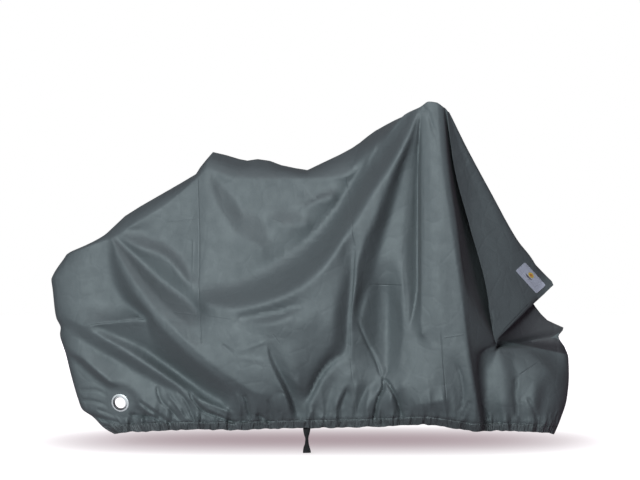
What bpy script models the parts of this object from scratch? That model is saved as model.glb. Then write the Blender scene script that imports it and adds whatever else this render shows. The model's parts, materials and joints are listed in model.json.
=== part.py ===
"""Fitted bicycle cover, hanging as it does over a bicycle: one piece of coated cloth with a gathered hem,
a sewn label patch, a lock eyelet through each side and the loose end of a belly strap.

Metres, +Z up, +X to the front wheel, the near side at -Y. The origin lies just under the cloth, at the middle
of the handlebar, which is what carries the cover.

The side view is laid out on a drawing board of UNIT_PER_M units to the metre, x to the front and y down.
A point of the drawing is carried out to its own depth along the line from an eye that stands EYE_D metres
from the middle plane, so the widths of the cover do not change its drawn outline.
"""
import math

import bmesh
import bpy
import numpy as np
from mathutils import Matrix, Vector
from mathutils.bvhtree import BVHTree

# ---- driving dimensions -------------------------------------------------------------------------------------
NAME = "bicycle_cover"
UNIT_PER_M = 300.0
UNIT = 1.0 / UNIT_PER_M
EYE_D = 5.04                      # eye to the middle plane, m
EYE = (320.0, 240.0)              # foot of the eye's normal, board units
ORIGIN = (433.0, 114.0)           # board point of the origin
CLOTH = 0.0012                    # cloth thickness
GAP = 0.0004                      # between separate pieces

STATIONS = 47                     # columns along the cover
ROWS = (0, 0.55, 1, 1.12, 1.35, 1.57, 1.78, 2.0, 2.05, 2.10, 2.15, 2.2, 2.5, 2.8, 3.1, 3.4, 3.7, 3.87, 4.0)

LABEL_SIZE = (0.103, 0.042)       # sewn patch on the front flap
LABEL_AT = (530.4, 278.0)         # its middle on the board
LABEL_TURN = 47.8                 # its long side, degrees below +X
LABEL_T = 0.0009

EYELET_HOLE_R = 0.0190            # clear bore
EYELET_OUT_R = 0.0300
EYELET_FLAT = (25.0, 36.0)        # cloth is flat to the first radius, free past the second, board units

STRAP_T = 0.0018

# ---- the cover's drawing: v runs 0 ridge, 1 shoulder, 2 waist, 3 skirt, 4 hem -------------------------------
# rear and front edges on the middle plane: v, x, y
REAR = ((0, 98, 240.8), (0.45, 85, 246.0), (0.94, 69, 252.6), (1.0, 66.8, 254.2), (1.05, 64.5, 257.6),
        (1.26, 53, 275), (1.31, 51.3, 279.5), (1.4, 52.4, 288), (1.7, 56, 317), (1.84, 60.6, 327.5), (2.0, 60, 334),
        (2.3, 66, 355), (2.6, 71, 375), (3.0, 78, 399), (3.25, 82, 409), (3.5, 93, 417), (3.75, 104, 428),
        (4.0, 114, 434))
FRONT = ((0, 446.4, 112.5), (1.0, 449.5, 115), (1.25, 467, 150), (1.5, 491, 194.5), (1.75, 517.5, 242.5),
         (1.88, 535, 264), (2.0, 553.5, 285), (2.05, 530, 296), (2.085, 548.5, 321), (2.10, 563.5, 327.5),
         (2.15, 551, 336), (2.2, 566, 347), (2.35, 568.5, 358), (2.6, 569, 375), (3.0, 567, 398),
         (3.5, 561, 418), (3.8, 557, 428), (4.0, 554, 434))
# cross sections from rear to front: v, x, y, half width in mm
SECTIONS = (
    ("rack", ((0, 112, 230, 0), (1, 112, 238, 62), (2, 112, 331, 80), (3, 119, 398, 60), (4, 136, 431, 40))),
    ("tail", ((0, 135, 210.5, 0), (1, 135, 224, 72), (2, 136, 331, 104), (3, 141, 398, 84), (4, 152, 430.5, 54))),
    ("stay", ((0, 165, 192, 0), (1, 166, 204, 74), (2, 168, 331, 126), (3, 171, 398, 112), (4, 178, 430.5, 72))),
    ("cantle", ((0, 196, 172.5, 0), (1, 196, 179, 78), (2, 197, 331, 142), (3, 198, 398, 134), (4, 201, 430.5, 86))),
    ("saddle", ((0, 213, 152, 0), (1, 208, 169, 84), (2, 208, 331, 150), (3, 208, 398, 144), (4, 210, 430.5, 94))),
    ("nose", ((0, 245, 160, 0), (1, 240, 178, 88), (2, 240, 331, 162), (3, 240, 398, 160), (4, 240, 430.3, 108))),
    ("tube", ((0, 283, 164.5, 0), (1, 280, 178, 84), (2, 276, 331, 172), (3, 273, 398, 171), (4, 272, 430, 120))),
    ("dip", ((0, 307, 169, 0), (1, 305, 178, 82), (2, 303, 331, 178), (3, 302, 398, 177), (4, 302, 429.5, 128))),
    ("rise", ((0, 350, 150, 0), (1, 345, 176, 100), (2, 345, 331, 192), (3, 345, 398, 188), (4, 345, 428.5, 140))),
    ("climb", ((0, 385, 127, 0), (1, 378, 148, 152), (2, 382, 331, 214), (3, 384, 398, 206), (4, 385, 426.5, 154))),
    ("stem", ((0, 408, 116, 0), (1, 405, 114.4, 214), (2, 404, 331, 242), (3, 408, 398, 226), (4, 410, 425, 164))),
    ("grip_a", ((0, 424, 113.5, 0), (1, 420, 107, 254), (1.5, 421, 220, 262), (2, 424, 331, 264), (3, 428, 398, 240),
                (4, 432, 424.5, 172))),
    ("grip_b", ((0, 432, 113, 0), (1, 429, 101.5, 270), (1.5, 437, 220, 278), (2, 445, 331, 276), (3, 452, 398, 246),
                (4, 456, 427.5, 172))),
    ("grip_c", ((0, 438, 113.5, 0), (1, 437, 102.5, 274), (1.25, 441.5, 160, 280), (1.5, 450, 220, 280),
                (1.75, 459, 282, 276), (2, 467, 341, 268), (3, 476, 398, 238), (4, 481, 430.5, 166))),
    ("edge", ((0, 441, 114, 0), (1, 441.5, 105.5, 270), (1.25, 446.5, 160, 272), (1.5, 455.5, 220, 268),
              (1.75, 463.5, 282, 262), (2, 470.5, 341, 250), (3, 478, 398, 226), (4, 483, 431, 160))),
    ("gully", ((0, 443, 115, 0), (1, 444, 109, 262), (1.25, 448.5, 162, 222), (1.5, 459, 222, 110),
               (1.75, 471, 284, 64), (2, 482, 341, 82), (3, 486, 398, 148), (4, 489, 431.5, 124))),
    ("border", ((0, 445, 116, 0), (1, 446.5, 109.5, 258), (1.25, 454, 166, 232), (1.5, 469, 224, 186),
                (1.75, 485.5, 284, 152), (2, 495, 341, 122), (2.05, 496.5, 343, 118), (2.10, 497.5, 344.5, 84),
                (2.15, 498.5, 346, 66), (2.2, 500, 348, 116), (3, 503, 398, 152), (4, 505, 431.5, 118))),
    ("ear", ((0, 446, 114.5, 0), (1, 448, 111.5, 250), (1.25, 461.5, 154, 206), (1.5, 481.5, 206, 154),
             (1.75, 504, 259, 114), (2, 524, 312.8, 70))),
    ("crest", ((0, 446.2, 113.8, 0), (1, 449, 112, 242), (1.25, 467, 148, 184), (1.5, 491, 192.5, 126),
               (1.75, 517.5, 240, 70), (1.88, 534, 262.3, 30), (2, 544.6, 293.6, 14))),
)
NOSE_SPLIT = (0.42, 0.74, 0.92)   # stations round the nose of the lower front, share of a quarter turn
EAR_SHARE = (0.50, 0.85)          # stations across the pleat layers, share of the way to the edge
TAIL_SPLIT = (0.22, 0.45, 0.72)   # stations round the rear end
TUCK = ((2.0, 2.05, 2.10, 2.15, 2.2), (1.0, 0.95, 0.45, 0.40, 1.0))     # how far the folded front stands out

# ---- main fold lines: the crests and valleys between which the cloth hangs in taut flanks. Name, softness of the
# ---- turn in board units, path of x, y and height in mm above the smooth hanging shape
NEAR_LINES = (
    ("shoulder", 7, ((110, 233, 0), (165, 203, 0), (209, 171, 0), (280, 178, 0), (345, 176, 0), (385, 136, 0), (420, 107, 0), (441, 108, 0))),
    ("hem", 4, ((112, 424, 0), (160, 422, 0), (200, 421, 0), (300, 420, 0), (400, 417, 0), (455, 419, 0), (480, 423, 0), (556, 424, 0))),
    ("rear_edge", 4, ((68, 254, 0), (53, 278, 0), (58, 320, 0), (61, 334, 0), (73, 378, 0), (80, 404, 0), (96, 419, 0), (112, 430, 0))),
    ("front_edge", 4, ((566, 352, 0), (567, 375, 0), (564, 398, 0), (558, 418, 0))),
    ("flap_edge", 4, ((448, 116, 0), (470, 154, 0), (492, 196, 0), (518, 242, 0), (536, 264, 0), (552, 286, 0))),
    ("lobe_side", 4, ((441, 110, 0), (445, 150, 0), (452, 197, 0), (460, 252, 0), (469, 315, 0), (473, 350, 0), (478, 385, 0), (481, 412, 0))),
    ("flap_side", 4, ((446, 116, 0), (452.5, 150, 0), (463, 198, 0), (474, 240, 0), (485, 280, 0), (491, 310, 0), (496, 338, 0))),
    ("flap_fold", 3, ((500, 336, 0), (520, 319, 0), (538, 302, 0))),
    ("under_flap", 3, ((498, 345, 0), (520, 341, 0), (545, 337, 0), (562, 343, 0))),
    ("swag_valley", 16, ((413, 110, -2), (383, 146, -16), (362, 172, -24), (331, 222, -30), (311, 242, -28), (266, 272, -16), (246, 281, -12), (203, 289, 0))),
    ("swag_knee", 16, ((415, 111, 4), (388, 152, 16), (370, 177, 24), (344, 219, 44), (306, 262, 16), (264, 286, 12), (245, 292, 10), (206, 293, 12))),
    ("swag_crest", 16, ((417, 110, 9), (397, 153, 80), (370, 194, 118), (346, 233, 130), (318, 271, 124), (282, 297, 104), (245, 308, 84), (204, 304, 56))),
    ("band_right", 14, ((418, 112, 9), (403, 153, 74), (384, 195, 102), (367, 236, 112), (357, 265, 102), (354, 295, 78), (351, 325, 42), (351, 357, 18))),
    ("second_foot", 12, ((419, 113, 6), (408, 152, 14), (401, 174, 6), (390, 215, 0), (378, 252, 0), (369, 282, 0), (363, 296, 2), (357, 325, 14))),
    ("panel_right", 10, ((419, 118, 4), (416, 136, 8), (410, 176, -6), (409, 198, -12), (405, 242, -16), (404, 262, -16), (407, 300, -17), (407, 318, -16))),
    ("lobe_out", 10, ((434, 160, 0), (437, 220, 0), (440, 280, 0), (441, 318, -2))),
    ("lens_low", 12, ((240, 320, 66), (262, 324.5, 96), (280, 321, 108), (303, 308.5, 102))),
    ("belly_top", 14, ((206, 322, 60), (240, 330, 82), (280, 332, 96), (312, 318, 106))),
    ("belly", 14, ((206, 344, 72), (222, 356, 80), (244, 368, 84), (258, 374, 84))),
    ("belly_right", 12, ((284, 352, 92), (292, 366, 86), (296, 378, 72))),
    ("groove_left", 10, ((349, 243, 114), (345, 262, 112), (343, 280, 108), (338, 300, 102), (333, 344, 84), (323, 358, 76), (314, 374, 64), (306, 392, 42))),
    ("groove_valley", 10, ((353, 246, 102), (352.2, 262, 62), (349.4, 300, 18), (347.6, 320, 4), (344.5, 353, -4), (331, 361, -4), (312, 390, -20), (306, 404, -14))),
    ("groove_right", 10, ((354.8, 246, 108), (354.6, 262, 98), (352.4, 300, 68), (350.8, 320, 44), (347.6, 356, 22), (334, 365, 22), (315, 394, 12), (309, 408, 2))),
    ("arch_left", 10, ((388, 261.5, -4), (382, 263, -2), (377, 270, -2), (373, 278, -2), (367, 300, 0), (363, 314, 4), (361, 330, 8), (362, 342, 8))),
    ("arch_right", 10, ((389, 261.5, -6), (395, 265, -10), (399, 272, -14), (402, 283, -16), (402, 318, -20), (403, 334, -22), (401, 350, -20), (398, 368, -14))),
    ("hollow_b", 10, ((388, 282, -38), (388, 300, -40), (388, 320, -40), (388, 340, -40), (387, 358, -40), (387, 372, -30))),
    ("rack_crest", 12, ((110, 235, 3), (126, 270, 45), (140, 290, 62), (171, 326, 80), (190, 345, 84), (232, 378, 80), (252, 391, 70), (283, 393, 52))),
    ("rack_gutter", 12, ((112, 234, 0), (126, 247, -8), (143, 264, -14), (160, 280, -18), (177, 293, -16), (190, 303, -8), (200, 313, 10))),
    ("rack_lip", 12, ((113, 252, 20), (122, 273, 40), (135, 294, 56), (150, 314, 67), (185, 351, 76), (205, 368, 72), (228, 385, 60), (246, 396, 42))),
    ("rack_foot", 12, ((109, 240, 0), (111, 260, -3), (116, 282, -12), (124, 298, -21), (135, 309, -24), (146, 317, -15))),
    ("broad_up", 12, ((114, 231, 0), (130, 232, -9), (142, 234, -14), (157, 240, -18), (170, 247, -18), (181, 256, -16), (188, 268, -12), (192, 280, -4))),
    ("broad_low", 12, ((115, 234, 2), (128, 242, 10), (140, 248, 16), (158, 253, 18), (170, 261, 18), (179, 272, 16), (186, 280, 12), (197, 286, 4))),
    ("rear_fold", 9, ((66, 318, 8), (84, 325.5, 20), (100, 323.5, 25), (115, 321.5, 27), (130, 320, 26), (147, 319, 20))),
    ("heel_ridge", 9, ((63, 313, 3), (75, 319, 12), (88, 328, 21), (105, 338, 27), (145, 362.5, 24), (165, 375.5, 15), (183, 388, 3), (192, 393, -6))),
    ("deep_valley", 10, ((96, 327.5, 8), (112, 335.5, -4), (125, 341, -16), (145, 351, -40), (175, 371, -44), (188, 380, -44), (205, 391, -44), (225, 402, -26))),
    ("heel_gutter", 9, ((68, 330, 0), (78, 336, -4), (92, 346, -9), (108, 355, -12), (125, 364, -15), (143, 375, -18), (160, 384, -21), (175, 391, -21))),
    ("heel_crest", 9, ((64, 345, 3), (72, 352, 12), (82, 358, 20), (92, 367, 24), (121, 390, 26), (137, 402, 21), (153, 413, 14), (166, 421, 3))),
    ("heel_foot", 9, ((68, 357, 0), (78, 362, -12), (90, 373, -16), (103, 384, -15), (116, 393, -12), (131, 405, -14), (146, 415, -10), (158, 422, -3))),
    ("curtain_crest", 10, ((266, 344, 88), (269, 358, 86), (274, 372, 82), (281, 386, 74), (284, 394, 66), (288, 404, 44), (293, 418, 10))),
    ("curtain_foot", 10, ((268, 345, 84), (272.5, 358, 70), (279, 371, 56), (286, 384, 30), (291, 396, 2), (295, 408, -16), (298, 418, -8))),
    ("low_edge", 10, ((284, 371, 66), (294, 380, 62), (300, 386, 48), (305, 391, 16))),
    ("lobe_dip", 10, ((452, 350, -4), (457, 370, -14), (461, 390, -16), (464, 407, -9))),
    ("flap_crest", 8, ((456, 150, -2), (466, 190, -3), (478, 235, -4), (491, 280, -4), (497, 305, -2))),
)
FAR_LINES = (
    ("shoulder", 5, ((110, 233, 0), (165, 203, 0), (197, 178, 0), (222, 177, 0), (280, 178, 0), (370, 151, 0), (398, 122, 0), (438, 104, 0))),
    ("hem", 5, ((112, 424, 0), (160, 422, 0), (250, 421, 0), (350, 419, 0), (430, 416, 0), (480, 423, 0), (556, 424, 0))),
    ("rear_edge", 5, ((68, 254, 0), (53, 278, 0), (58, 320, 0), (67, 356, 0), (80, 404, 0), (112, 430, 0))),
    ("front_edge", 5, ((566, 352, 0), (567, 375, 0), (558, 418, 0))),
    ("flap_edge", 5, ((448, 116, 0), (492, 196, 0), (552, 286, 0))),
    ("lobe_side", 4, ((441, 110, 0), (452, 197, 0), (465, 290, 0), (475, 350, 0), (481, 412, 0))),
    ("flap_side", 4, ((446, 116, 0), (467, 210, 0), (490, 300, 0), (496, 338, 0))),
    ("swag_valley", 16, ((412, 112, 0), (394, 130, -9), (374, 154, -18), (356, 182, -27), (320, 242, -42), (294, 264, -39), (262, 280, -27), (230, 292, -12))),
    ("swag_crest", 16, ((416, 114, 9), (407, 134, 45), (380, 188, 105), (366, 216, 117), (350, 248, 120), (328, 276, 111), (268, 308, 66), (232, 314, 42))),
    ("second_valley", 16, ((417, 115, 9), (407, 142, 42), (395, 172, 66), (383, 206, 81), (373, 240, 84), (365, 276, 72), (360, 310, 54))),
    ("second_crest", 16, ((419, 117, 12), (413, 146, 60), (405, 178, 93), (396, 212, 111), (387, 248, 111), (379, 286, 93), (372, 330, 66), (366, 360, 39))),
    ("lobe_valley", 11, ((421, 130, -6), (418, 180, -27), (416, 240, -39), (418, 300, -24), (422, 345, -8))),
    ("seat_low", 11, ((210, 176, 4), (220, 206, 15), (238, 236, 20), (268, 256, 6))),
    ("seat_up", 11, ((216, 178, 0), (240, 204, -15), (266, 226, -15), (282, 248, -6))),
    ("groove_valley", 11, ((346, 262, 51), (342, 296, 18), (334, 332, -9), (320, 362, -18), (308, 398, -12))),
    ("groove_right", 11, ((358, 330, 36), (346, 356, 24), (330, 378, 15), (314, 408, 4))),
    ("rack_crest", 11, ((110, 236, 3), (124, 268, 39), (146, 300, 60), (172, 328, 69), (202, 356, 69), (232, 380, 51), (256, 394, 30))),
    ("rack_gutter", 11, ((113, 235, 0), (140, 260, -12), (168, 286, -15), (194, 306, -3))),
    ("rack_foot", 11, ((108, 244, 0), (114, 276, -12), (126, 304, -27), (148, 338, -39), (176, 370, -42), (210, 396, -21))),
    ("heel_crest", 11, ((62, 330, 6), (84, 344, 21), (110, 360, 27), (140, 382, 21), (166, 404, 12))),
    ("heel_foot", 11, ((66, 350, -3), (86, 364, -14), (110, 384, -15), (136, 404, -12), (156, 418, -4))),
    ("curtain_crest", 11, ((262, 330, 33), (270, 358, 36), (282, 388, 27), (290, 416, 6))),
    ("curtain_foot", 11, ((268, 334, 27), (278, 360, 12), (292, 390, -12), (298, 416, -6))),
    ("wheel_crest_a", 11, ((501, 354, 10), (506, 378, 18), (508, 404, 15))),
    ("wheel_foot_a", 11, ((514, 354, -4), (519, 378, -12), (521, 404, -10))),
    ("wheel_crest_b", 11, ((524, 346, 4), (538, 362, 14), (550, 382, 8))),
    ("flap_crest", 11, ((454, 156, 8), (470, 214, 16), (488, 272, 15))),
)
HEM_WAVES = ((26.0, 3.4, 0.4), (41.0, 3.0, 1.7))   # gathers in the skirt above the hem: length, mm, phase

# eyelets: name, side (-1 near, +1 far), x, y on the board, half width of the cover there in mm,
# turn towards the rear and tilt towards the floor in degrees
EYELETS = (
    ("eyelet_near", -1, 120.2, 402.8, 62.0, 14.0, 10.0),
    ("eyelet_far", 1, 115.6, 406.6, 55.0, 16.0, 12.0),
)
# belly strap, from the hem down: height above the ground, x, depth, width, twist in degrees
STRAP = (
    (0.1180, 306.6, -0.1080, 0.0250, 4), (0.0900, 306.8, -0.1080, 0.0246, 10), (0.0720, 307.0, -0.1085, 0.0215, 34),
    (0.0560, 307.3, -0.1095, 0.0190, 62), (0.0420, 307.2, -0.1105, 0.0205, 58), (0.0270, 306.9, -0.1110, 0.0240, 36),
    (0.0130, 307.0, -0.1110, 0.0262, 14), (0.0090, 307.0, -0.1110, 0.0262, 12),
)
GROUND = 451.0                    # board row of the ground


# ---- drawing board to space ---------------------------------------------------------------------------------
def place(x, y, depth):
    k = (EYE_D + depth) / EYE_D
    px = (EYE[0] - ORIGIN[0]) * UNIT + (x - EYE[0]) * UNIT * k
    pz = (ORIGIN[1] - EYE[1]) * UNIT + (EYE[1] - y) * UNIT * k
    return np.stack([px, np.broadcast_to(depth, np.shape(px)), pz], -1)


def smooth(x, a=0.0, b=1.0):
    s = np.clip((x - a) / (b - a), 0, 1)
    return s * s * (3 - 2 * s)


def monotone(t, p, q):
    """Monotone cubic through p(t), read at q."""
    t, p, q = np.asarray(t, float), np.asarray(p, float), np.asarray(q, float)
    col = (-1,) + (1,) * (p.ndim - 1)
    h = np.diff(t)
    hh = h.reshape(col)
    d = np.diff(p, axis=0) / hh
    m = np.zeros_like(p)
    if len(t) > 2:
        w1, w2 = 2 * hh[1:] + hh[:-1], hh[1:] + 2 * hh[:-1]
        same = d[:-1] * d[1:] > 0
        lo, hi = np.where(same, d[:-1], 1.0), np.where(same, d[1:], 1.0)
        m[1:-1] = np.where(same, (w1 + w2) / (w1 / lo + w2 / hi), 0.0)
    m[0], m[-1] = d[0], d[-1]
    i = np.clip(np.searchsorted(t, q, side="right") - 1, 0, len(t) - 2)
    s, g = (q - t[i]) / h[i], h[i]
    if p.ndim > 1:
        s, g = s.reshape(s.shape + (1,) * (p.ndim - 1)), g.reshape(g.shape + (1,) * (p.ndim - 1))
    return ((2 * s**3 - 3 * s**2 + 1) * p[i] + (s**3 - 2 * s**2 + s) * m[i] * g
            + (-2 * s**3 + 3 * s**2) * p[i + 1] + (s**3 - s**2) * m[i + 1] * g)


def columns(rows, v):
    a = np.array(rows, float)
    q = np.clip(v, a[0, 0], a[-1, 0])
    return [monotone(a[:, 0], a[:, k], q) for k in range(1, a.shape[1])]


def belted(rows):
    """Adds the row just under the shoulder, where the roof turns into the side, and the one where the hem tucks in."""
    rows = list(rows)
    k = next(i for i, r in enumerate(rows) if r[0] == 1)
    if rows[k + 1][0] == 2:
        a, b = rows[k], rows[k + 1]
        rows.insert(k + 1, (1.12,) + tuple(p + (q - p) * 0.10 for p, q in zip(a[1:], b[1:])))
    if rows[-1][0] == 4:
        a, b = rows[-2], rows[-1]
        rows.insert(-1, (3.6, a[1] + (b[1] - a[1]) * 0.6, a[2] + (b[2] - a[2]) * 0.6, a[3] + (b[3] - a[3]) * 0.42))
    return tuple(rows)


def section_net(v):
    """Every section read at v: (sections, 3, *v.shape) of x, y and half width."""
    rear_x, rear_y = columns(REAR, v)
    front_x, front_y = columns(FRONT, v)
    cut = {}
    for name, rows in SECTIONS:
        x, y, w = columns(belted(rows), v)
        w = np.where(v < 1, rows[1][3] * np.clip(v, 0, 1) ** 0.85, w)
        cut[name] = (x, y, w)
    net = [(rear_x, rear_y, np.zeros_like(v))]
    x1, y1, w1 = cut["rack"]
    for a in TAIL_SPLIT:
        c, s = 1 - math.cos(a * math.pi / 2), math.sin(a * math.pi / 2)
        net.append((rear_x + (x1 - rear_x) * c, rear_y + (y1 - rear_y) * c, w1 * s))
    for name, _ in SECTIONS[:-2]:
        net.append(cut[name])
    xe, ye, we = cut["border"]
    lower = smooth(v, 2.12, 2.6)
    tuck = np.interp(v, *TUCK)
    for name, share, a in zip(("ear", "crest"), EAR_SHARE, NOSE_SPLIT):
        f = (1 - lower) * share + lower * math.sin(a * math.pi / 2)
        w = we * ((1 - lower) * (1 - share) * tuck + lower * math.cos(a * math.pi / 2))
        up = v <= 2.0
        x, y, wu = cut[name]
        net.append((np.where(up, x, xe + (front_x - xe) * f), np.where(up, y, ye + (front_y - ye) * f),
                    np.where(up, wu, w)))
    a0, a = NOSE_SPLIT[1:]
    turn = (math.sin(a * math.pi / 2) - math.sin(a0 * math.pi / 2)) / (1 - math.sin(a0 * math.pi / 2))
    x2, y2, w2 = net[-1]
    f = (1 - lower) * 0.6 + lower * turn
    net.append((x2 + (front_x - x2) * f, y2 + (front_y - y2) * f,
                (1 - lower) * w2 * 0.45 + lower * we * math.cos(a * math.pi / 2)))
    net.append((front_x, front_y, np.zeros_like(v)))
    return np.array([list(s) for s in net])


def section_stations():
    n = section_net(np.array([1.6, 2.3, 3.0]))
    p = np.stack([n[:, 0] * UNIT, n[:, 2] / 1000.0, n[:, 1] * UNIT], -1)
    d = np.linalg.norm(np.diff(p, axis=0), axis=-1).mean(1)
    return np.concatenate([[0], np.cumsum(np.maximum(d, 0.012))])


def base(t, v):
    """Board x, y and half width in metres at stations t (n,) and rows v (n, m)."""
    knots = section_stations()
    net = section_net(v)
    out = np.empty((3,) + v.shape)
    for k in range(v.shape[0]):
        out[:, k] = monotone(knots, net[:, :, k, :], np.array(t[k]))
    return out[0], out[1], out[2] / 1000.0


# ---- folds --------------------------------------------------------------------------------------------------
def bend(points, n=8):
    p = np.asarray(points, float)
    q = np.vstack([2 * p[0] - p[1], p, 2 * p[-1] - p[-2]])
    s = np.linspace(0, 1, n, endpoint=False)[:, None]
    out = []
    for a, b, c, d in zip(q[:-3], q[1:-2], q[2:-1], q[3:]):
        out.append(0.5 * (2 * b + (c - a) * s + (2 * a - 5 * b + 4 * c - d) * s**2 + (3 * b - a - 3 * c + d) * s**3))
    return np.vstack(out + [p[-1:]])


BOARD = (36.0, 84.0, 592.0, 456.0)
CELL = 2.0                        # grid on which the flanks are drawn taut, board units
BLURS = (1.0, 3.0, 6.0, 10.0, 16.0)


def spread(values, known, rounds):
    """Relaxes the unknown cells of a grid until each is the mean of its neighbours."""
    i, j = np.indices(values.shape)
    colours = [((i + j) % 2 == k) & ~known for k in (0, 1)]
    for _ in range(rounds):
        for mine in colours:
            v = np.pad(values, 1, mode="edge")
            mean = (v[:-2, 1:-1] + v[2:, 1:-1] + v[1:-1, :-2] + v[1:-1, 2:]) / 4
            values = np.where(mine, values + 1.75 * (mean - values), values)
    return values


def blur(grid, sigma):
    n = max(1, int(math.ceil(2.6 * sigma)))
    k = np.exp(-0.5 * (np.arange(-n, n + 1) / sigma) ** 2)
    k /= k.sum()
    for axis in (0, 1):
        pad = [(n, n) if a == axis else (0, 0) for a in (0, 1)]
        g = np.pad(grid, pad, mode="edge")
        grid = sum(w * (g[m:m + grid.shape[0]] if axis == 0 else g[:, m:m + grid.shape[1]]) for m, w in enumerate(k))
    return grid


def sample(grid, x, y, cell):
    gx = np.clip((x - BOARD[0]) / cell, 0, grid.shape[0] - 1.001)
    gy = np.clip((y - BOARD[1]) / cell, 0, grid.shape[1] - 1.001)
    i, j = gx.astype(int), gy.astype(int)
    fx, fy = gx - i, gy - j
    return ((grid[i, j] * (1 - fx) + grid[i + 1, j] * fx) * (1 - fy)
            + (grid[i, j + 1] * (1 - fx) + grid[i + 1, j + 1] * fx) * fy)


def line_height(x, y, lines):
    """Cloth drawn taut between fold lines, with the turn at each line as soft as the line says."""
    grids = None
    for factor in (8, 4, 2, 1):
        cell = CELL * factor
        shape = (int((BOARD[2] - BOARD[0]) / cell) + 2, int((BOARD[3] - BOARD[1]) / cell) + 2)
        total, soft, count = np.zeros(shape), np.zeros(shape), np.zeros(shape)
        for _, softness, path in lines:
            c = bend(path)
            run = np.concatenate([[0], np.cumsum(np.linalg.norm(np.diff(c[:, :2], axis=0), axis=1))])
            s = np.linspace(0, run[-1], int(run[-1] / (0.4 * CELL)) + 2)
            px, py, ph = (np.interp(s, run, c[:, k]) for k in range(3))
            i = np.clip(np.rint((px - BOARD[0]) / cell).astype(int), 0, shape[0] - 1)
            j = np.clip(np.rint((py - BOARD[1]) / cell).astype(int), 0, shape[1] - 1)
            np.add.at(total, (i, j), ph)
            np.add.at(soft, (i, j), softness)
            np.add.at(count, (i, j), 1)
        known = count > 0
        n = np.maximum(count, 1)
        if grids is None:
            start = [np.zeros(shape), np.full(shape, 2.0)]
        else:
            ci = np.minimum(np.arange(shape[0]) / 2, grids[0].shape[0] - 1.001)
            cj = np.minimum(np.arange(shape[1]) / 2, grids[0].shape[1] - 1.001)
            gx, gy = np.meshgrid(ci * 2 * cell + BOARD[0], cj * 2 * cell + BOARD[1], indexing="ij")
            start = [sample(g, gx, gy, 2 * cell) for g in grids]
        grids = [spread(np.where(known, t / n, g), known, 60 if factor > 1 else 40) for g, t in zip(start, (total, soft))]
    height, soft = grids
    levels = [blur(height, b / CELL) for b in BLURS]
    at = np.interp(soft, BLURS, range(len(BLURS)))
    k = np.clip(at.astype(int), 0, len(BLURS) - 2)
    stack = np.stack(levels)
    i, j = np.indices(soft.shape)
    height = stack[k, i, j] * (1 - (at - k)) + stack[k + 1, i, j] * (at - k)
    return sample(height, x, y, CELL) / 1000.0


def gathers(x, v):
    a = smooth(v, 3.35, 3.9)
    h = sum(mm * np.sin(2 * math.pi * x / length + phase) for length, mm, phase in HEM_WAVES)
    return a * h / 1000.0


# ---- surface ------------------------------------------------------------------------------------------------
def eyelet_frame(side, x, y, half, turn, tilt):
    """Centre, outward normal and two in-plane axes of an eyelet."""
    centre = place(np.array(x), np.array(y), np.array(-half / 1000.0))
    a, b = math.radians(turn), math.radians(tilt)
    normal = Vector((-math.sin(a) * math.cos(b), -math.cos(a) * math.cos(b), -math.sin(b)))
    centre = Vector(centre)
    if side > 0:
        centre.y, normal.y = -centre.y, -normal.y
    u = Vector((1, 0, 0))
    u = (u - normal * u.dot(normal)).normalized()
    return centre, normal, u, normal.cross(u)


def flank(side, t, v, lines):
    """Points of one side of the cover (n, m, 3); side -1 near, +1 far. Folds carry the cloth out towards the eye."""
    x, y, w = base(t, v)
    knots = section_stations()
    pleat = smooth(t[:, None], knots[-7], knots[-6]) * (1 - smooth(np.abs(v - 2.09), 0.13, 0.20))
    h = (line_height(x, y, lines) + gathers(x, v)) * smooth(w, 0.0, 0.03) * (1 - pleat) * smooth(v, 0.2, 1.0)
    p = place(x, y, -(w + h))
    for _, eye_side, ex, ey, half, turn, tilt in EYELETS:
        if eye_side == side:
            centre, n, _, _ = eyelet_frame(-1, ex, ey, half, turn, tilt)
            c, n = np.array(centre), np.array(n)
            keep = 1 - smooth(np.hypot(x - ex, y - ey), *EYELET_FLAT)
            lift = ((p - c) @ n) / n[1]
            p[..., 1] -= keep * lift
    if side > 0:
        p[..., 1] *= -1
    return p


def make_cover(coll):
    knots = section_stations()
    t = np.linspace(0, knots[-1], STATIONS)
    v = np.broadcast_to(np.array(ROWS, float), (STATIONS, len(ROWS))).copy()
    near, far = flank(-1, t, v, NEAR_LINES), flank(1, t, v, FAR_LINES)
    bm = bmesh.new()
    n, m = STATIONS, len(ROWS)
    a = [[None] * m for _ in range(n)]
    b = [[None] * m for _ in range(n)]
    for i in range(n):
        for j in range(m):
            shared = j == 0 or i in (0, n - 1)
            q = near[i, j]
            a[i][j] = bm.verts.new((q[0], 0.0 if shared else q[1], q[2]))
            b[i][j] = a[i][j] if shared else bm.verts.new(far[i, j])
    for i in range(n - 1):
        for j in range(m - 1):
            bm.faces.new((a[i][j], a[i][j + 1], a[i + 1][j + 1], a[i + 1][j]))
            bm.faces.new((b[i][j], b[i + 1][j], b[i + 1][j + 1], b[i][j + 1]))
    bmesh.ops.triangulate(bm, faces=bm.faces[:], quad_method="SHORT_EDGE")
    me = bpy.data.meshes.new("cover")
    bm.to_mesh(me)
    bm.free()
    me.shade_smooth()
    ob = bpy.data.objects.new("cover", me)
    coll.objects.link(ob)
    shell = ob.modifiers.new("cloth", "SOLIDIFY")
    shell.thickness = CLOTH
    shell.offset = -1.0
    shell.use_even_offset = False
    return ob


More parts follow.
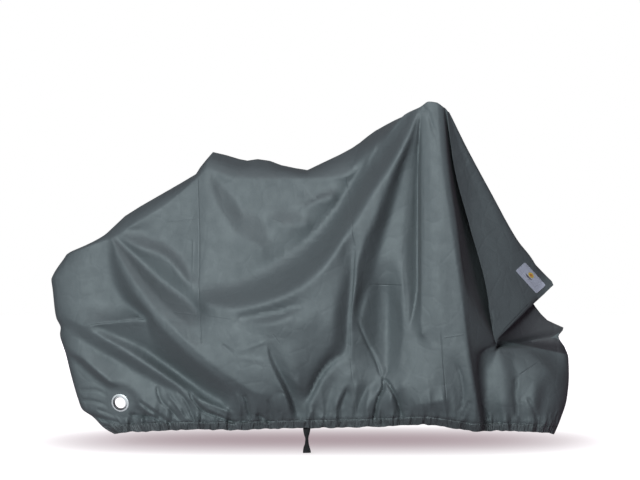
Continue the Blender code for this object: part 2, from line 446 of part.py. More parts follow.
# ---- fittings -----------------------------------------------------------------------------------------------
def eyelet_profile():
    """Half section from the axis out: radius, height above the cloth's outer face; the groove takes the cloth."""
    hole, out = EYELET_HOLE_R, EYELET_OUT_R
    top, low = GAP, -CLOTH - GAP
    barrel = hole + 0.0012
    return ((out - 0.0004, top), (barrel, top), (barrel, low), (out - 0.0022, low), (out - 0.0018, low - 0.0006),
            (out - 0.0026, low - 0.0011), (hole + 0.0008, low - 0.0011), (hole, low - 0.0005), (hole, top + 0.0010),
            (hole + 0.0010, top + 0.0018), (hole + 0.0030, top + 0.0024), (hole + 0.0068, top + 0.0024),
            (out - 0.0012, top + 0.0012), (out, top + 0.0005))


def make_eyelet(coll, name, frame):
    centre, normal, u, w = frame
    bm = bmesh.new()
    ring = [bm.verts.new((r, 0, z)) for r, z in eyelet_profile()]
    for p, q in zip(ring, ring[1:] + ring[:1]):
        bm.edges.new((p, q))
    me = bpy.data.meshes.new(name)
    bm.to_mesh(me)
    bm.free()
    ob = bpy.data.objects.new(name, me)
    coll.objects.link(ob)
    turn = ob.modifiers.new("turn", "SCREW")
    turn.steps = turn.render_steps = 40
    turn.use_merge_vertices = True
    turn.merge_threshold = 0.00001
    turn.use_smooth_shade = True
    turn.use_normal_calculate = True
    ob.matrix_world = Matrix.Translation(centre) @ Matrix(((u.x, w.x, normal.x, 0), (u.y, w.y, normal.y, 0),
                                                           (u.z, w.z, normal.z, 0), (0, 0, 0, 1)))
    return ob


def make_hole(coll, cover, name, frame):
    centre, normal, u, w = frame
    bm = bmesh.new()
    bmesh.ops.create_cone(bm, cap_ends=True, segments=32, radius1=EYELET_HOLE_R + 0.0017,
                          radius2=EYELET_HOLE_R + 0.0017, depth=0.03)
    me = bpy.data.meshes.new(name)
    bm.to_mesh(me)
    bm.free()
    ob = bpy.data.objects.new(name, me)
    coll.objects.link(ob)
    ob.matrix_world = Matrix.Translation(centre) @ Matrix(((u.x, w.x, normal.x, 0), (u.y, w.y, normal.y, 0),
                                                           (u.z, w.z, normal.z, 0), (0, 0, 0, 1)))
    ob.hide_render = True
    ob.display_type = "WIRE"
    cut = cover.modifiers.new(name, "BOOLEAN")
    cut.object = ob
    cut.operation = "DIFFERENCE"
    cut.solver = "EXACT"
    return ob


def make_label(coll, cover):
    """A flat patch laid just proud of the front flap: outline with round corners, extruded."""
    bpy.context.view_layer.update()
    tree = BVHTree.FromObject(cover, bpy.context.evaluated_depsgraph_get())
    eye = Vector(place(np.array(EYE[0]), np.array(EYE[1]), np.array(-EYE_D)))
    a = math.radians(LABEL_TURN)
    long_u = np.array((math.cos(a), math.sin(a))) * LABEL_SIZE[0] * UNIT_PER_M / 2
    wide_u = np.array((-math.sin(a), math.cos(a))) * LABEL_SIZE[1] * UNIT_PER_M / 2
    hits = []
    for i in np.linspace(-1, 1, 13):
        for j in np.linspace(-1, 1, 7):
            q = np.array(LABEL_AT) + long_u * i + wide_u * j
            aim = Vector(place(np.array(q[0]), np.array(q[1]), np.array(0.0)))
            hit = tree.ray_cast(eye, (aim - eye).normalized())
            if hit[0] is not None:
                hits.append(hit[0])
    pts = np.array([tuple(h) for h in hits])
    mid = pts.mean(0)
    n = np.linalg.svd(pts - mid)[2][2]
    n = n if n[1] < 0 else -n
    lift = ((pts - mid) @ n).max() + GAP + LABEL_T / 2
    normal = Vector(n)
    aim = Vector(place(np.array(LABEL_AT[0] + long_u[0]), np.array(LABEL_AT[1] + long_u[1]), np.array(float(mid[1]))))
    u = aim - Vector(mid)
    u = (u - normal * u.dot(normal)).normalized()
    w = normal.cross(u)
    curve = bpy.data.curves.new("label", "CURVE")
    curve.dimensions = "2D"
    curve.fill_mode = "BOTH"
    curve.extrude = LABEL_T / 2
    hx, hy, r = LABEL_SIZE[0] / 2, LABEL_SIZE[1] / 2, 0.004
    corners = []
    for cx, cy, start in ((hx - r, hy - r, 0), (-hx + r, hy - r, 90), (-hx + r, -hy + r, 180), (hx - r, -hy + r, 270)):
        for k in range(5):
            b = math.radians(start + k * 22.5)
            corners.append((cx + r * math.cos(b), cy + r * math.sin(b)))
    line = curve.splines.new("POLY")
    line.points.add(len(corners) - 1)
    for p, (cx, cy) in zip(line.points, corners):
        p.co = (cx, cy, 0, 1)
    line.use_cyclic_u = True
    ob = bpy.data.objects.new("label", curve)
    coll.objects.link(ob)
    ob.matrix_world = Matrix.Translation(Vector(mid) + normal * lift) @ Matrix(
        ((u.x, w.x, normal.x, 0), (u.y, w.y, normal.y, 0), (u.z, w.z, normal.z, 0), (0, 0, 0, 1)))
    return ob


def make_strap(coll):
    """Loose webbing end: rectangular sections lofted down the table."""
    bm = bmesh.new()
    rings = []
    ground = (ORIGIN[1] - GROUND) * UNIT
    for height, x, depth, width, twist in STRAP:
        c = place(np.array(x), np.array(EYE[1]), np.array(depth))
        c[2] = ground + height
        a = math.radians(twist)
        du, dn = Vector((math.cos(a), math.sin(a), 0)), Vector((-math.sin(a), math.cos(a), 0))
        ring = []
        for i, j in ((-1, -1), (-0.5, -1), (0, -1), (0.5, -1), (1, -1), (1, 1), (0.5, 1), (0, 1), (-0.5, 1), (-1, 1)):
            ring.append(bm.verts.new(Vector(c) + du * (i * width / 2) + dn * (j * STRAP_T / 2)))
        rings.append(ring)
    for top, low in zip(rings, rings[1:]):
        for k in range(10):
            bm.faces.new((top[k], top[(k + 1) % 10], low[(k + 1) % 10], low[k]))
    bm.faces.new(rings[0])
    bm.faces.new(rings[-1][::-1])
    bmesh.ops.recalc_face_normals(bm, faces=bm.faces[:])
    bmesh.ops.triangulate(bm, faces=bm.faces[:])
    me = bpy.data.meshes.new("belly_strap")
    bm.to_mesh(me)
    bm.free()
    ob = bpy.data.objects.new("belly_strap", me)
    coll.objects.link(ob)
    return ob


def finish(ob, name, colour, rough, metal=0.0):
    mat = bpy.data.materials.new(name)
    mat.use_nodes = True
    shader = mat.node_tree.nodes["Principled BSDF"]
    shader.inputs["Base Color"].default_value = (*colour, 1)
    shader.inputs["Roughness"].default_value = rough
    shader.inputs["Metallic"].default_value = metal
    ob.data.materials.append(mat)


def main():
    for ob in list(bpy.data.objects):
        bpy.data.objects.remove(ob, do_unlink=True)
    parts = bpy.data.collections.new(NAME)
    tools = bpy.data.collections.new("cutters")
    for coll in (parts, tools):
        bpy.context.scene.collection.children.link(coll)
    root = bpy.data.objects.new("hanging_point", None)
    parts.objects.link(root)
    cover = make_cover(parts)
    finish(cover, "coated_cloth", (0.125, 0.150, 0.160), 0.55)
    pieces = [cover]
    for name, side, x, y, half, turn, tilt in EYELETS:
        frame = eyelet_frame(side, x, y, half, turn, tilt)
        ring = make_eyelet(parts, name, frame)
        finish(ring, name + "_metal", (0.78, 0.77, 0.75), 0.22, 1.0)
        make_hole(tools, cover, "hole_" + name, frame)
        pieces.append(ring)
    label = make_label(parts, cover)
    finish(label, "label_cloth", (0.24, 0.24, 0.30), 0.7)
    strap = make_strap(parts)
    finish(strap, "strap_webbing", (0.01, 0.008, 0.01), 0.75)
    for ob in pieces + [label, strap]:
        m = ob.matrix_world.copy()
        ob.parent = root
        ob.matrix_world = m


main()
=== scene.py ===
"""The looks of a fitted bicycle cover: coated cloth hanging over the hidden bicycle, gathered at its hem."""
import json
import math

import bmesh
import bpy
import numpy as np
from mathutils import Matrix, Vector
from mathutils.bvhtree import BVHTree
import math
import numpy as np

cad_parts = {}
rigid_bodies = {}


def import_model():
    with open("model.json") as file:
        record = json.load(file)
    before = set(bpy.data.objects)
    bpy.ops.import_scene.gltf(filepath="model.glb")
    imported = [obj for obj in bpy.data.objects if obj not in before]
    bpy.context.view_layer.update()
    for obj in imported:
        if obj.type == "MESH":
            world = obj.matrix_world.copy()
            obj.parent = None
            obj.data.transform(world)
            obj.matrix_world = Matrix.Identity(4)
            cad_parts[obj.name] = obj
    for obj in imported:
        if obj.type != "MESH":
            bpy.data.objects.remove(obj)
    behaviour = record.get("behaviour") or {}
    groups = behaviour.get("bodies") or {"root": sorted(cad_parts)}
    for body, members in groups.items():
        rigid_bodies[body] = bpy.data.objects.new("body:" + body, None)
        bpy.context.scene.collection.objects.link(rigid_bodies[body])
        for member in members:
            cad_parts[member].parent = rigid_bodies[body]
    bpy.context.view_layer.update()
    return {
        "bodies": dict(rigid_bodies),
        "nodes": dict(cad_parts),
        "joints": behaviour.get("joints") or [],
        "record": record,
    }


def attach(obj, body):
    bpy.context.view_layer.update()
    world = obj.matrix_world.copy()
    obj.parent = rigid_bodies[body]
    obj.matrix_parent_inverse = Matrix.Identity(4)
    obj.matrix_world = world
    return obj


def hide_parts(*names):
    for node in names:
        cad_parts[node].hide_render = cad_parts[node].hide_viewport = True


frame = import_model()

UNIT_PER_M = 300.0
UNIT = 1.0 / UNIT_PER_M
EYE_D = 5.04
EYE = (320.0, 240.0)
ORIGIN = (433.0, 114.0)
GROUND = 451.0
CLOTH = 0.0012
GAP = 0.0004

# v runs 0 ridge, 1 shoulder, 2 waist, 3 skirt, 4 hem
REAR = ((0, 98, 240.8), (0.45, 85, 246.0), (0.94, 69, 252.6), (1.0, 66.8, 254.2), (1.05, 64.5, 257.6),
        (1.26, 53, 275), (1.31, 51.3, 279.5), (1.4, 52.4, 288), (1.7, 56, 317), (1.84, 60.6, 327.5), (2.0, 60, 334),
        (2.3, 66, 355), (2.6, 71, 375), (3.0, 78, 399), (3.25, 82, 409), (3.5, 93, 417), (3.75, 104, 428),
        (4.0, 114, 434))
FRONT = ((0, 446.4, 112.5), (1.0, 449.5, 115), (1.25, 467, 150), (1.5, 491, 194.5), (1.75, 517.5, 242.5),
         (1.88, 535.5, 264.5), (1.94, 545.2, 274.7), (2.0, 553.5, 285), (2.05, 530, 296), (2.085, 548.5, 321), (2.10, 563.5, 327.5),
         (2.15, 558.5, 336.5), (2.2, 564.5, 346.5), (2.35, 568.5, 358), (2.6, 569, 375), (3.0, 567, 398),
         (3.5, 561, 418), (3.8, 557, 428), (4.0, 554, 434))
SECTIONS = (
    ("rack", ((0, 112, 230, 0), (1, 112, 238, 62), (2, 112, 331, 80), (3, 119, 398, 60), (4, 136, 431, 40))),
    ("tail", ((0, 135, 210.5, 0), (1, 135, 224, 72), (2, 136, 331, 104), (3, 141, 398, 84), (4, 152, 430.5, 54))),
    ("stay", ((0, 165, 192, 0), (1, 166, 204, 74), (2, 168, 331, 126), (3, 171, 398, 112), (4, 178, 430.5, 72))),
    ("cantle", ((0, 196, 172.5, 0), (1, 196, 179, 78), (2, 197, 331, 142), (3, 198, 398, 134), (4, 201, 430.5, 86))),
    ("saddle", ((0, 213, 152, 0), (1, 208, 169, 84), (2, 208, 331, 150), (3, 208, 398, 144), (4, 210, 430.5, 94))),
    ("nose", ((0, 245, 160, 0), (1, 240, 178, 88), (2, 240, 331, 162), (3, 240, 398, 160), (4, 240, 430.3, 108))),
    ("tube", ((0, 283, 164.5, 0), (1, 280, 178, 84), (2, 276, 331, 172), (3, 273, 398, 171), (4, 272, 430, 120))),
    ("dip", ((0, 307, 169, 0), (1, 305, 178, 82), (2, 303, 331, 178), (3, 302, 398, 177), (4, 302, 429.5, 128))),
    ("rise", ((0, 350, 150, 0), (1, 345, 176, 100), (2, 345, 331, 192), (3, 345, 398, 188), (4, 345, 428.5, 140))),
    ("climb", ((0, 385, 127, 0), (1, 378, 148, 152), (2, 382, 331, 214), (3, 384, 398, 206), (4, 385, 426.5, 154))),
    ("stem", ((0, 408, 116, 0), (1, 405, 114.4, 214), (2, 404, 331, 242), (3, 408, 398, 226), (4, 410, 425, 164))),
    ("grip_a", ((0, 424, 113.5, 0), (1, 420, 107, 254), (1.5, 421, 220, 262), (2, 424, 331, 264), (3, 428, 398, 240),
                (4, 432, 424.5, 172))),
    ("grip_b", ((0, 432, 113, 0), (1, 429, 101.5, 270), (1.5, 437, 220, 278), (2, 445, 331, 276), (3, 452, 398, 246),
                (4, 456, 427.5, 172))),
    ("grip_c", ((0, 438, 113.5, 0), (1, 437, 102.5, 274), (1.25, 441.5, 160, 280), (1.5, 450, 220, 280),
                (1.75, 459, 282, 276), (2, 467, 341, 268), (3, 476, 398, 238), (4, 481, 430.5, 166))),
    ("edge", ((0, 441, 114, 0), (1, 441.5, 105.5, 270), (1.25, 446.5, 160, 272), (1.5, 455.5, 220, 268),
              (1.75, 463.5, 282, 262), (2, 470.5, 341, 250), (3, 478, 398, 226), (4, 483, 431, 160))),
    ("wall", ((0, 442, 114.5, 0), (1, 443.3, 107, 266), (1.25, 448.4, 161, 262), (1.5, 457.5, 221, 250),
              (1.75, 467.5, 284, 226), (1.875, 479.5, 312, 184), (2, 493.5, 341, 138), (2.2, 483, 352, 160),
              (2.5, 478.2, 370, 172), (3, 480.5, 398, 168), (4, 485.5, 431.3, 136))),
    ("gully", ((0, 443, 115, 0), (1, 445, 108, 262), (1.25, 454.3, 164, 150), (1.5, 469.8, 223, 30),
               (1.75, 487.5, 284, 4), (1.875, 489.5, 312, 46), (2, 496.3, 341, 100), (2.2, 495, 352, 128),
               (2.5, 489, 370, 142), (3, 488, 398, 150), (4, 491.5, 431.5, 122))),
    ("border", ((0, 445, 116, 0), (1, 446.5, 109.5, 258), (1.25, 454, 166, 232), (1.5, 469, 224, 186),
                (1.75, 485.5, 284, 152), (2, 495, 341, 122), (2.05, 496.5, 343, 118), (2.10, 497.5, 344.5, 84),
                (2.15, 498.5, 347, 60), (2.2, 500, 349, 116), (3, 503, 398, 152), (4, 505, 431.5, 118))),
    ("ear", ((0, 446, 114.5, 0), (1, 448, 111.5, 250), (1.25, 461.5, 154, 206), (1.5, 481.5, 206, 154),
             (1.75, 504, 259, 114), (2, 524, 312.8, 70))),
    ("crest", ((0, 446.2, 113.8, 0), (1, 449, 112, 242), (1.25, 467, 148, 184), (1.5, 491, 192.5, 126),
               (1.75, 517.5, 240, 70), (1.88, 534, 262.3, 30), (2, 544.6, 293.6, 14))),
)
NOSE_SPLIT = (0.42, 0.74, 0.92)
EAR_SHARE = (0.50, 0.85)
TAIL_SPLIT = (0.22, 0.45, 0.72)
TUCK = ((2.0, 2.05, 2.10, 2.15, 2.2), (1.0, 0.95, 0.36, 0.06, 1.0))     # how far the folded front stands out

# the drawn outline of the top and of the hem: x, y
TOP = ((98, 240.5), (107.5, 232.5), (125, 216), (140, 206.5), (160, 195), (180, 183.5), (196, 174), (200, 167.5),
       (206, 160), (213, 152), (226, 155), (240, 159.2), (247.5, 160.6), (257.5, 159), (270, 160.8), (281, 165),
       (295, 168), (307.5, 170), (322, 163), (340, 154.5), (352, 148), (360, 142.5), (368, 136), (375, 131),
       (385, 125.3), (395, 120), (404, 116))
HEM = ((114, 434.2), (130, 432.3), (150, 431), (180, 430), (230, 430), (300, 428.2), (350, 427.5), (380, 426.5),
       (400, 425.6), (420, 424.4), (432, 425), (450, 427.5), (472, 431.5), (500, 431), (530, 432), (554, 434))

# fold lines: the crests and valleys between which the cloth hangs in taut flanks.
# name, softness of the turn in board units, path of x, y and height in mm above the smooth hanging shape
NEAR_LINES = (
    ("shoulder", 1, ((110, 233, 0), (124, 229, 0), (140, 221, 0), (165, 203, 0), (185, 187, 0), (197, 178, 0), (209, 171, 0), (222, 177, 0), (240, 178, 0), (280, 178, 0), (320, 177, 0), (345, 176, 0), (358, 163, 0), (370, 151, 0), (385, 136, 0), (398, 122, 0), (407, 114, 0), (420, 107, 0), (430, 102.5, 0), (438, 104, 0), (441, 108, 0))),
    ("hem", 2, ((112, 424, 0), (130, 424, 0), (160, 422, 0), (200, 421, 0), (250, 421, 0), (300, 420, 0), (350, 419, 0), (400, 417, 0), (430, 416, 0), (455, 419, 0), (480, 423, 0), (520, 423, 0), (556, 424, 0))),
    ("rear_edge", 2, ((68, 254, 0), (53, 278, 0), (58, 320, 0), (61, 334, 0), (67, 356, 0), (73, 378, 0), (80, 404, 0), (96, 419, 0), (112, 430, 0))),
    ("front_edge", 2, ((566, 352, 0), (567, 375, 0), (564, 398, 0), (558, 418, 0))),
    ("flap_edge", 2, ((448, 116, 0), (470, 154, 0), (492, 196, 0), (518, 242, 0), (536, 264, 0), (552, 286, 0))),
    ("lobe_side", 1, ((441, 110, 0), (445, 150, 0), (452, 197, 0), (460, 252, 0), (465, 290, 0), (469, 315, 0), (473, 350, 0), (478, 385, 0), (481, 412, 0))),
    ("flap_side", 2, ((446, 116, 0), (452.5, 150, 0), (463, 198, 0), (474, 240, 0), (485, 280, 0), (491, 310, 0), (496, 338, 0))),
    ("flap_fold", 2, ((500, 336, 0), (520, 319, 0), (538, 302, 0))),
    ("under_flap", 2, ((498, 345, 0), (520, 341, 0), (545, 337, 0), (562, 343, 0))),
    # from the handlebar to the saddle
    ("swag_valley", 4.5, ((413, 110, -3), (398, 127, -11), (383, 146, -22), (362, 172, -32), (347, 197, -38), (331, 222, -40), (311, 242, -38), (289, 260, -30), (266, 272, -22), (246, 281, -16), (222, 287, -8), (203, 289, 0))),
    ("swag_knee", 3, ((415, 111, 4), (402, 131, 14), (388, 152, 20), (370, 177, 28), (356, 200, 38), (344, 219, 46), (328, 241, 36), (306, 262, 30), (284, 277, 30), (264, 286, 28), (245, 292, 24), (225, 294, 18), (206, 293, 16))),
    ("swag_crest", 2.4, ((417, 110, 10), (406, 134, 56), (397, 153, 86), (384, 174, 109), (370, 194, 126), (357, 216, 137), (346, 233, 139), (332, 255, 139), (318, 271, 133), (300, 287, 122), (282, 297, 111), (264, 303, 101), (245, 308, 90), (225, 308, 77), (204, 304, 60))),
    ("band_right", 1.6, ((418, 112, 9), (411, 134, 47), (403, 153, 70), (393, 174, 87), (384, 195, 97), (377, 215, 104), (367, 236, 106), (361, 252, 104), (357, 265, 97), (355.5, 280, 87), (354, 295, 74), (352, 310, 55), (351, 325, 40), (350, 340, 28), (351, 357, 17))),
    ("second_foot", 2.2, ((419, 113, 6), (414, 134, 16), (408, 152, 16), (401, 174, 13), (396, 195, 13), (390, 215, 12), (384, 234, 12), (378, 252, 12), (373, 268, 12), (369, 282, 8), (363, 296, 6), (359, 308, 7), (357, 325, 14))),
    ("panel_right", 4, ((419, 118, 4), (416, 136, 8), (413, 155, 2), (410, 176, -6), (409, 198, -12), (407, 220, -16), (405, 242, -16), (404, 262, -16), (405, 282, -16), (407, 300, -17), (407, 318, -16))),
    ("lobe_valley", 0.8, ((420, 120, 0), (419, 140, -18), (418.4, 170, -44), (418.1, 200, -62), (418.1, 235, -76), (418.1, 265, -76), (418.2, 288, -66), (415, 305, -46), (410, 326, -26))),
    ("lobe_face", 0.8, ((421.5, 120, 2), (420.8, 140, 0), (420.2, 170, -3), (420, 200, -6), (420, 235, -8), (420, 265, -8), (420.2, 290, -8), (420.8, 315, -8), (421.5, 335, -6))),
    ("lobe_streak", 3, ((418, 322, -12), (420, 340, -26), (421, 358, -14))),
    ("lobe_out", 5, ((434, 160, 0), (437, 220, 0), (440, 280, 0), (441, 318, -2))),
    ("wedge_up", 1, ((302, 206.5, -2), (320, 193, -9), (336, 183, -10))),
    ("wedge_low", 1, ((302, 208.5, 4), (318, 200.5, 10), (334, 198, 6))),
    ("patch_up", 1, ((266, 212, -6), (284, 211, -7), (300, 212, -6))),
    ("patch_low", 1, ((272, 221, 3), (284, 226, 5), (308, 224, 3))),
    ("seat_low", 1, ((209, 174, 2), (212, 190, 8), (216, 203, 11), (226, 217, 13), (233, 230, 14), (240, 238, 13), (252, 243, 10), (264, 251, 3))),
    ("seat_up", 1.5, ((214, 176, 0), (223, 186, -7), (237, 201, -10), (241, 212, -11), (256, 214, -11), (266, 224, -10), (267, 240, -6))),
    ("lens_up", 1.8, ((240, 318, 68), (262, 315.5, 70), (282, 311.5, 76), (302, 306, 92))),
    ("lens_low", 2.2, ((240, 320, 66), (262, 324.5, 96), (280, 321, 108), (303, 308.5, 102))),
    ("belly_top", 5, ((206, 322, 60), (240, 330, 82), (280, 332, 96), (312, 318, 106))),
    ("belly", 5, ((206, 344, 72), (222, 356, 80), (244, 368, 84), (258, 374, 84))),
    ("belly_right", 5, ((284, 352, 92), (292, 366, 86), (296, 378, 72))),
    # the middle groove, and the hollow under the arch beside it
    ("groove_left", 3, ((349, 243, 111), (345, 262, 104), (343, 280, 100), (338, 300, 94), (334, 322, 86), (333, 344, 62), (323, 358, 54), (314, 374, 42), (306, 392, 24))),
    ("groove_valley", 1.8, ((353, 246, 106), (352.2, 262, 86), (351.4, 280, 68), (349.4, 300, 48), (347.6, 320, 28), (346.4, 340, 14), (344.5, 353, 6), (331, 361, 0), (320, 374, -10), (312, 390, -20), (306, 404, -14))),
    ("groove_right", 1.8, ((354.8, 246, 108), (354.6, 262, 92), (354.2, 280, 76), (352.4, 300, 56), (350.8, 320, 36), (349.6, 340, 20), (347.6, 356, 14), (334, 365, 16), (323, 379, 16), (315, 394, 10), (309, 408, 2))),
    ("arch_left", 1.4, ((388, 261.5, -4), (382, 263, -2), (377, 270, -2), (373, 278, -2), (370, 288, -1), (367, 300, 0), (363, 314, 4), (361, 330, 8), (362, 342, 8))),
    ("arch_right", 1.4, ((389, 261.5, -6), (395, 265, -10), (399, 272, -14), (402, 283, -16), (401, 300, -18), (402, 318, -20), (403, 334, -22), (401, 350, -20), (398, 368, -14))),
    ("hollow_top", 2, ((383, 271, -16), (389, 268, -18), (394, 273, -20))),
    ("hollow_a", 2.5, ((380, 282, -30), (379, 300, -48), (378, 320, -54), (378, 340, -50), (379, 358, -36))),
    ("hollow_b", 2.5, ((388, 282, -38), (388, 300, -62), (388, 320, -72), (388, 340, -68), (387, 358, -50), (387, 372, -30))),
    ("hollow_c", 2, ((394, 285, -26), (397, 305, -36), (398, 325, -42), (396, 345, -42), (392, 364, -30))),
    # from the rack down to the front and to the heel
    ("rack_crest", 1.0, ((110, 235, 3), (116, 250, 24), (126, 270, 45), (140, 290, 62), (155, 309, 72), (171, 326, 80), (190, 345, 84), (210, 362, 84), (232, 378, 80), (252, 391, 70), (268, 394, 62), (283, 393, 52))),
    ("rack_shoulder", 1.0, ((112, 237, 3), (122, 251, 16), (137, 272, 34), (152, 291, 48), (168, 308, 58), (184, 322, 62), (202, 338, 66))),
    ("rack_gutter", 2, ((112, 234, 0), (126, 247, -8), (143, 264, -14), (160, 280, -18), (177, 293, -16), (190, 303, -8), (200, 313, 10))),
    ("rack_lip", 1.5, ((113, 252, 20), (122, 273, 40), (135, 294, 56), (150, 314, 67), (166, 332, 74), (185, 351, 76), (205, 368, 72), (228, 385, 60), (246, 396, 42))),
    ("rack_foot", 3, ((109, 240, 0), (111, 260, -3), (116, 282, -12), (124, 298, -21), (135, 309, -24), (146, 317, -15))),
    ("broad_up", 3, ((114, 231, 0), (130, 232, -9), (142, 234, -14), (157, 240, -18), (170, 247, -18), (181, 256, -16), (188, 268, -12), (192, 280, -4))),
    ("broad_low", 1.5, ((115, 234, 2), (128, 242, 10), (140, 248, 16), (158, 253, 18), (170, 261, 18), (179, 272, 16), (186, 280, 12), (197, 286, 4))),
    ("rear_soft", 5, ((64, 300, 0), (80, 302, -8), (100, 308, -12), (120, 315, -8))),
    ("rear_fold", 0.6, ((66, 318, 8), (84, 325.5, 20), (100, 323.5, 25), (115, 321.5, 27), (130, 320, 26), (147, 319, 20))),
    ("heel_ridge", 2.4, ((63, 313, 3), (75, 319, 12), (88, 328, 21), (105, 338, 27), (125, 350, 28), (145, 362.5, 24), (165, 375.5, 15), (183, 388, 3), (192, 393, -6))),
    ("deep_valley", 3, ((96, 327.5, 8), (112, 335.5, -4), (125, 341, -16), (145, 351, -40), (160, 360.5, -60), (175, 371, -70), (188, 380, -66), (205, 391, -48), (225, 402, -26))),
    ("deep_side", 1.5, ((147, 321, 12), (150, 335, -6), (151, 348, -26))),
    ("heel_gutter", 2, ((68, 330, 0), (78, 336, -4), (92, 346, -9), (108, 355, -12), (125, 364, -15), (143, 375, -18), (160, 384, -21), (175, 391, -21))),
    ("heel_crest", 1, ((64, 345, 3), (72, 352, 12), (82, 358, 20), (92, 367, 24), (106, 379, 27), (121, 390, 26), (137, 402, 21), (153, 413, 14), (166, 421, 3))),
    ("heel_foot", 1.5, ((68, 357, 0), (78, 362, -12), (90, 373, -16), (103, 384, -15), (116, 393, -12), (131, 405, -14), (146, 415, -10), (158, 422, -3))),
    # above the hem
    ("curtain_crest", 0.6, ((266, 344, 88), (269, 358, 86), (274, 372, 82), (281, 386, 74), (284, 394, 66), (288, 404, 44), (293, 418, 10))),
    ("curtain_foot", 0.8, ((268, 345, 84), (272.5, 358, 70), (279, 371, 56), (286, 384, 30), (291, 396, 2), (295, 408, -16), (298, 418, -8))),
    ("low_edge", 0.8, ((284, 371, 66), (294, 380, 62), (300, 386, 48), (305, 391, 16))),
    ("fan_a_foot", 1.5, ((324, 418, -2), (328, 405, -9), (331, 392, -6), (334, 380, 3))),
    ("fan_b", 1.5, ((331, 418, 0), (338, 402, 10), (345, 388, 15), (351, 374, 21))),
    ("fan_b_foot", 1, ((334, 421, -3), (341, 405, -12), (347, 391, -6))),
    ("fan_c", 1.5, ((351, 418, 2), (354, 400, 12), (357, 384, 20))),
    ("fan_c_foot", 1.5, ((357, 420, -3), (360, 404, -14), (366, 390, -12), (375, 382, -9))),
    ("fan_d", 1.5, ((366, 418, 2), (371, 402, 12), (379, 388, 14))),
    ("fan_e", 1.5, ((385, 419, 2), (389, 404, 14), (393, 394, 16))),
    ("fan_e_foot", 1.5, ((397, 418, -2), (399, 406, -10), (398, 394, -6))),
    ("fan_f", 2, ((407, 412, 3), (405, 398, 12), (402, 384, 18))),
    ("pucker_crest", 1.5, ((186, 393, -3), (196, 400, 6), (208, 408, 9), (222, 414, 6))),
    ("pucker_foot", 1.5, ((190, 402, -12), (200, 412, -15), (214, 419, -8))),
    ("low_shade", 1, ((405, 408, 9), (425, 404, 14), (444, 400, 12))),
    ("lobe_dip", 3, ((452, 350, -4), (457, 370, -14), (461, 390, -16), (464, 407, -9))),
    ("lobe_rib", 2, ((466, 345, 6), (470, 370, 8), (473, 400, 6))),
    # over the front wheel and on the flap
    ("wheel_crest_a", 3, ((500, 352, 6), (505, 375, 11), (507, 402, 11))),
    ("wheel_foot_a", 2, ((511, 352, -2), (516, 375, -7), (519, 398, -9), (517, 417, -2))),
    ("wheel_crest_b", 1.2, ((518, 344, 2), (528, 352, 7), (540, 361, 8), (552, 374, 4))),
    ("wheel_foot_b", 4, ((533, 345, -9), (547, 353, -15), (558, 368, -14))),
    ("wheel_crest_c", 2, ((536, 385, 9), (534, 403, 12), (531, 418, 3))),
    ("wheel_foot_c", 2.5, ((547, 386, -10), (543, 403, -14), (539, 418, -4))),
    ("flap_crest", 5, ((456, 150, -2), (466, 190, -3), (478, 235, -4), (491, 280, -4), (497, 305, -2))),
    ("flap_dip", 6, ((466, 150, 0), (482, 190, 2), (498, 235, 3), (511, 275, 2))),
)
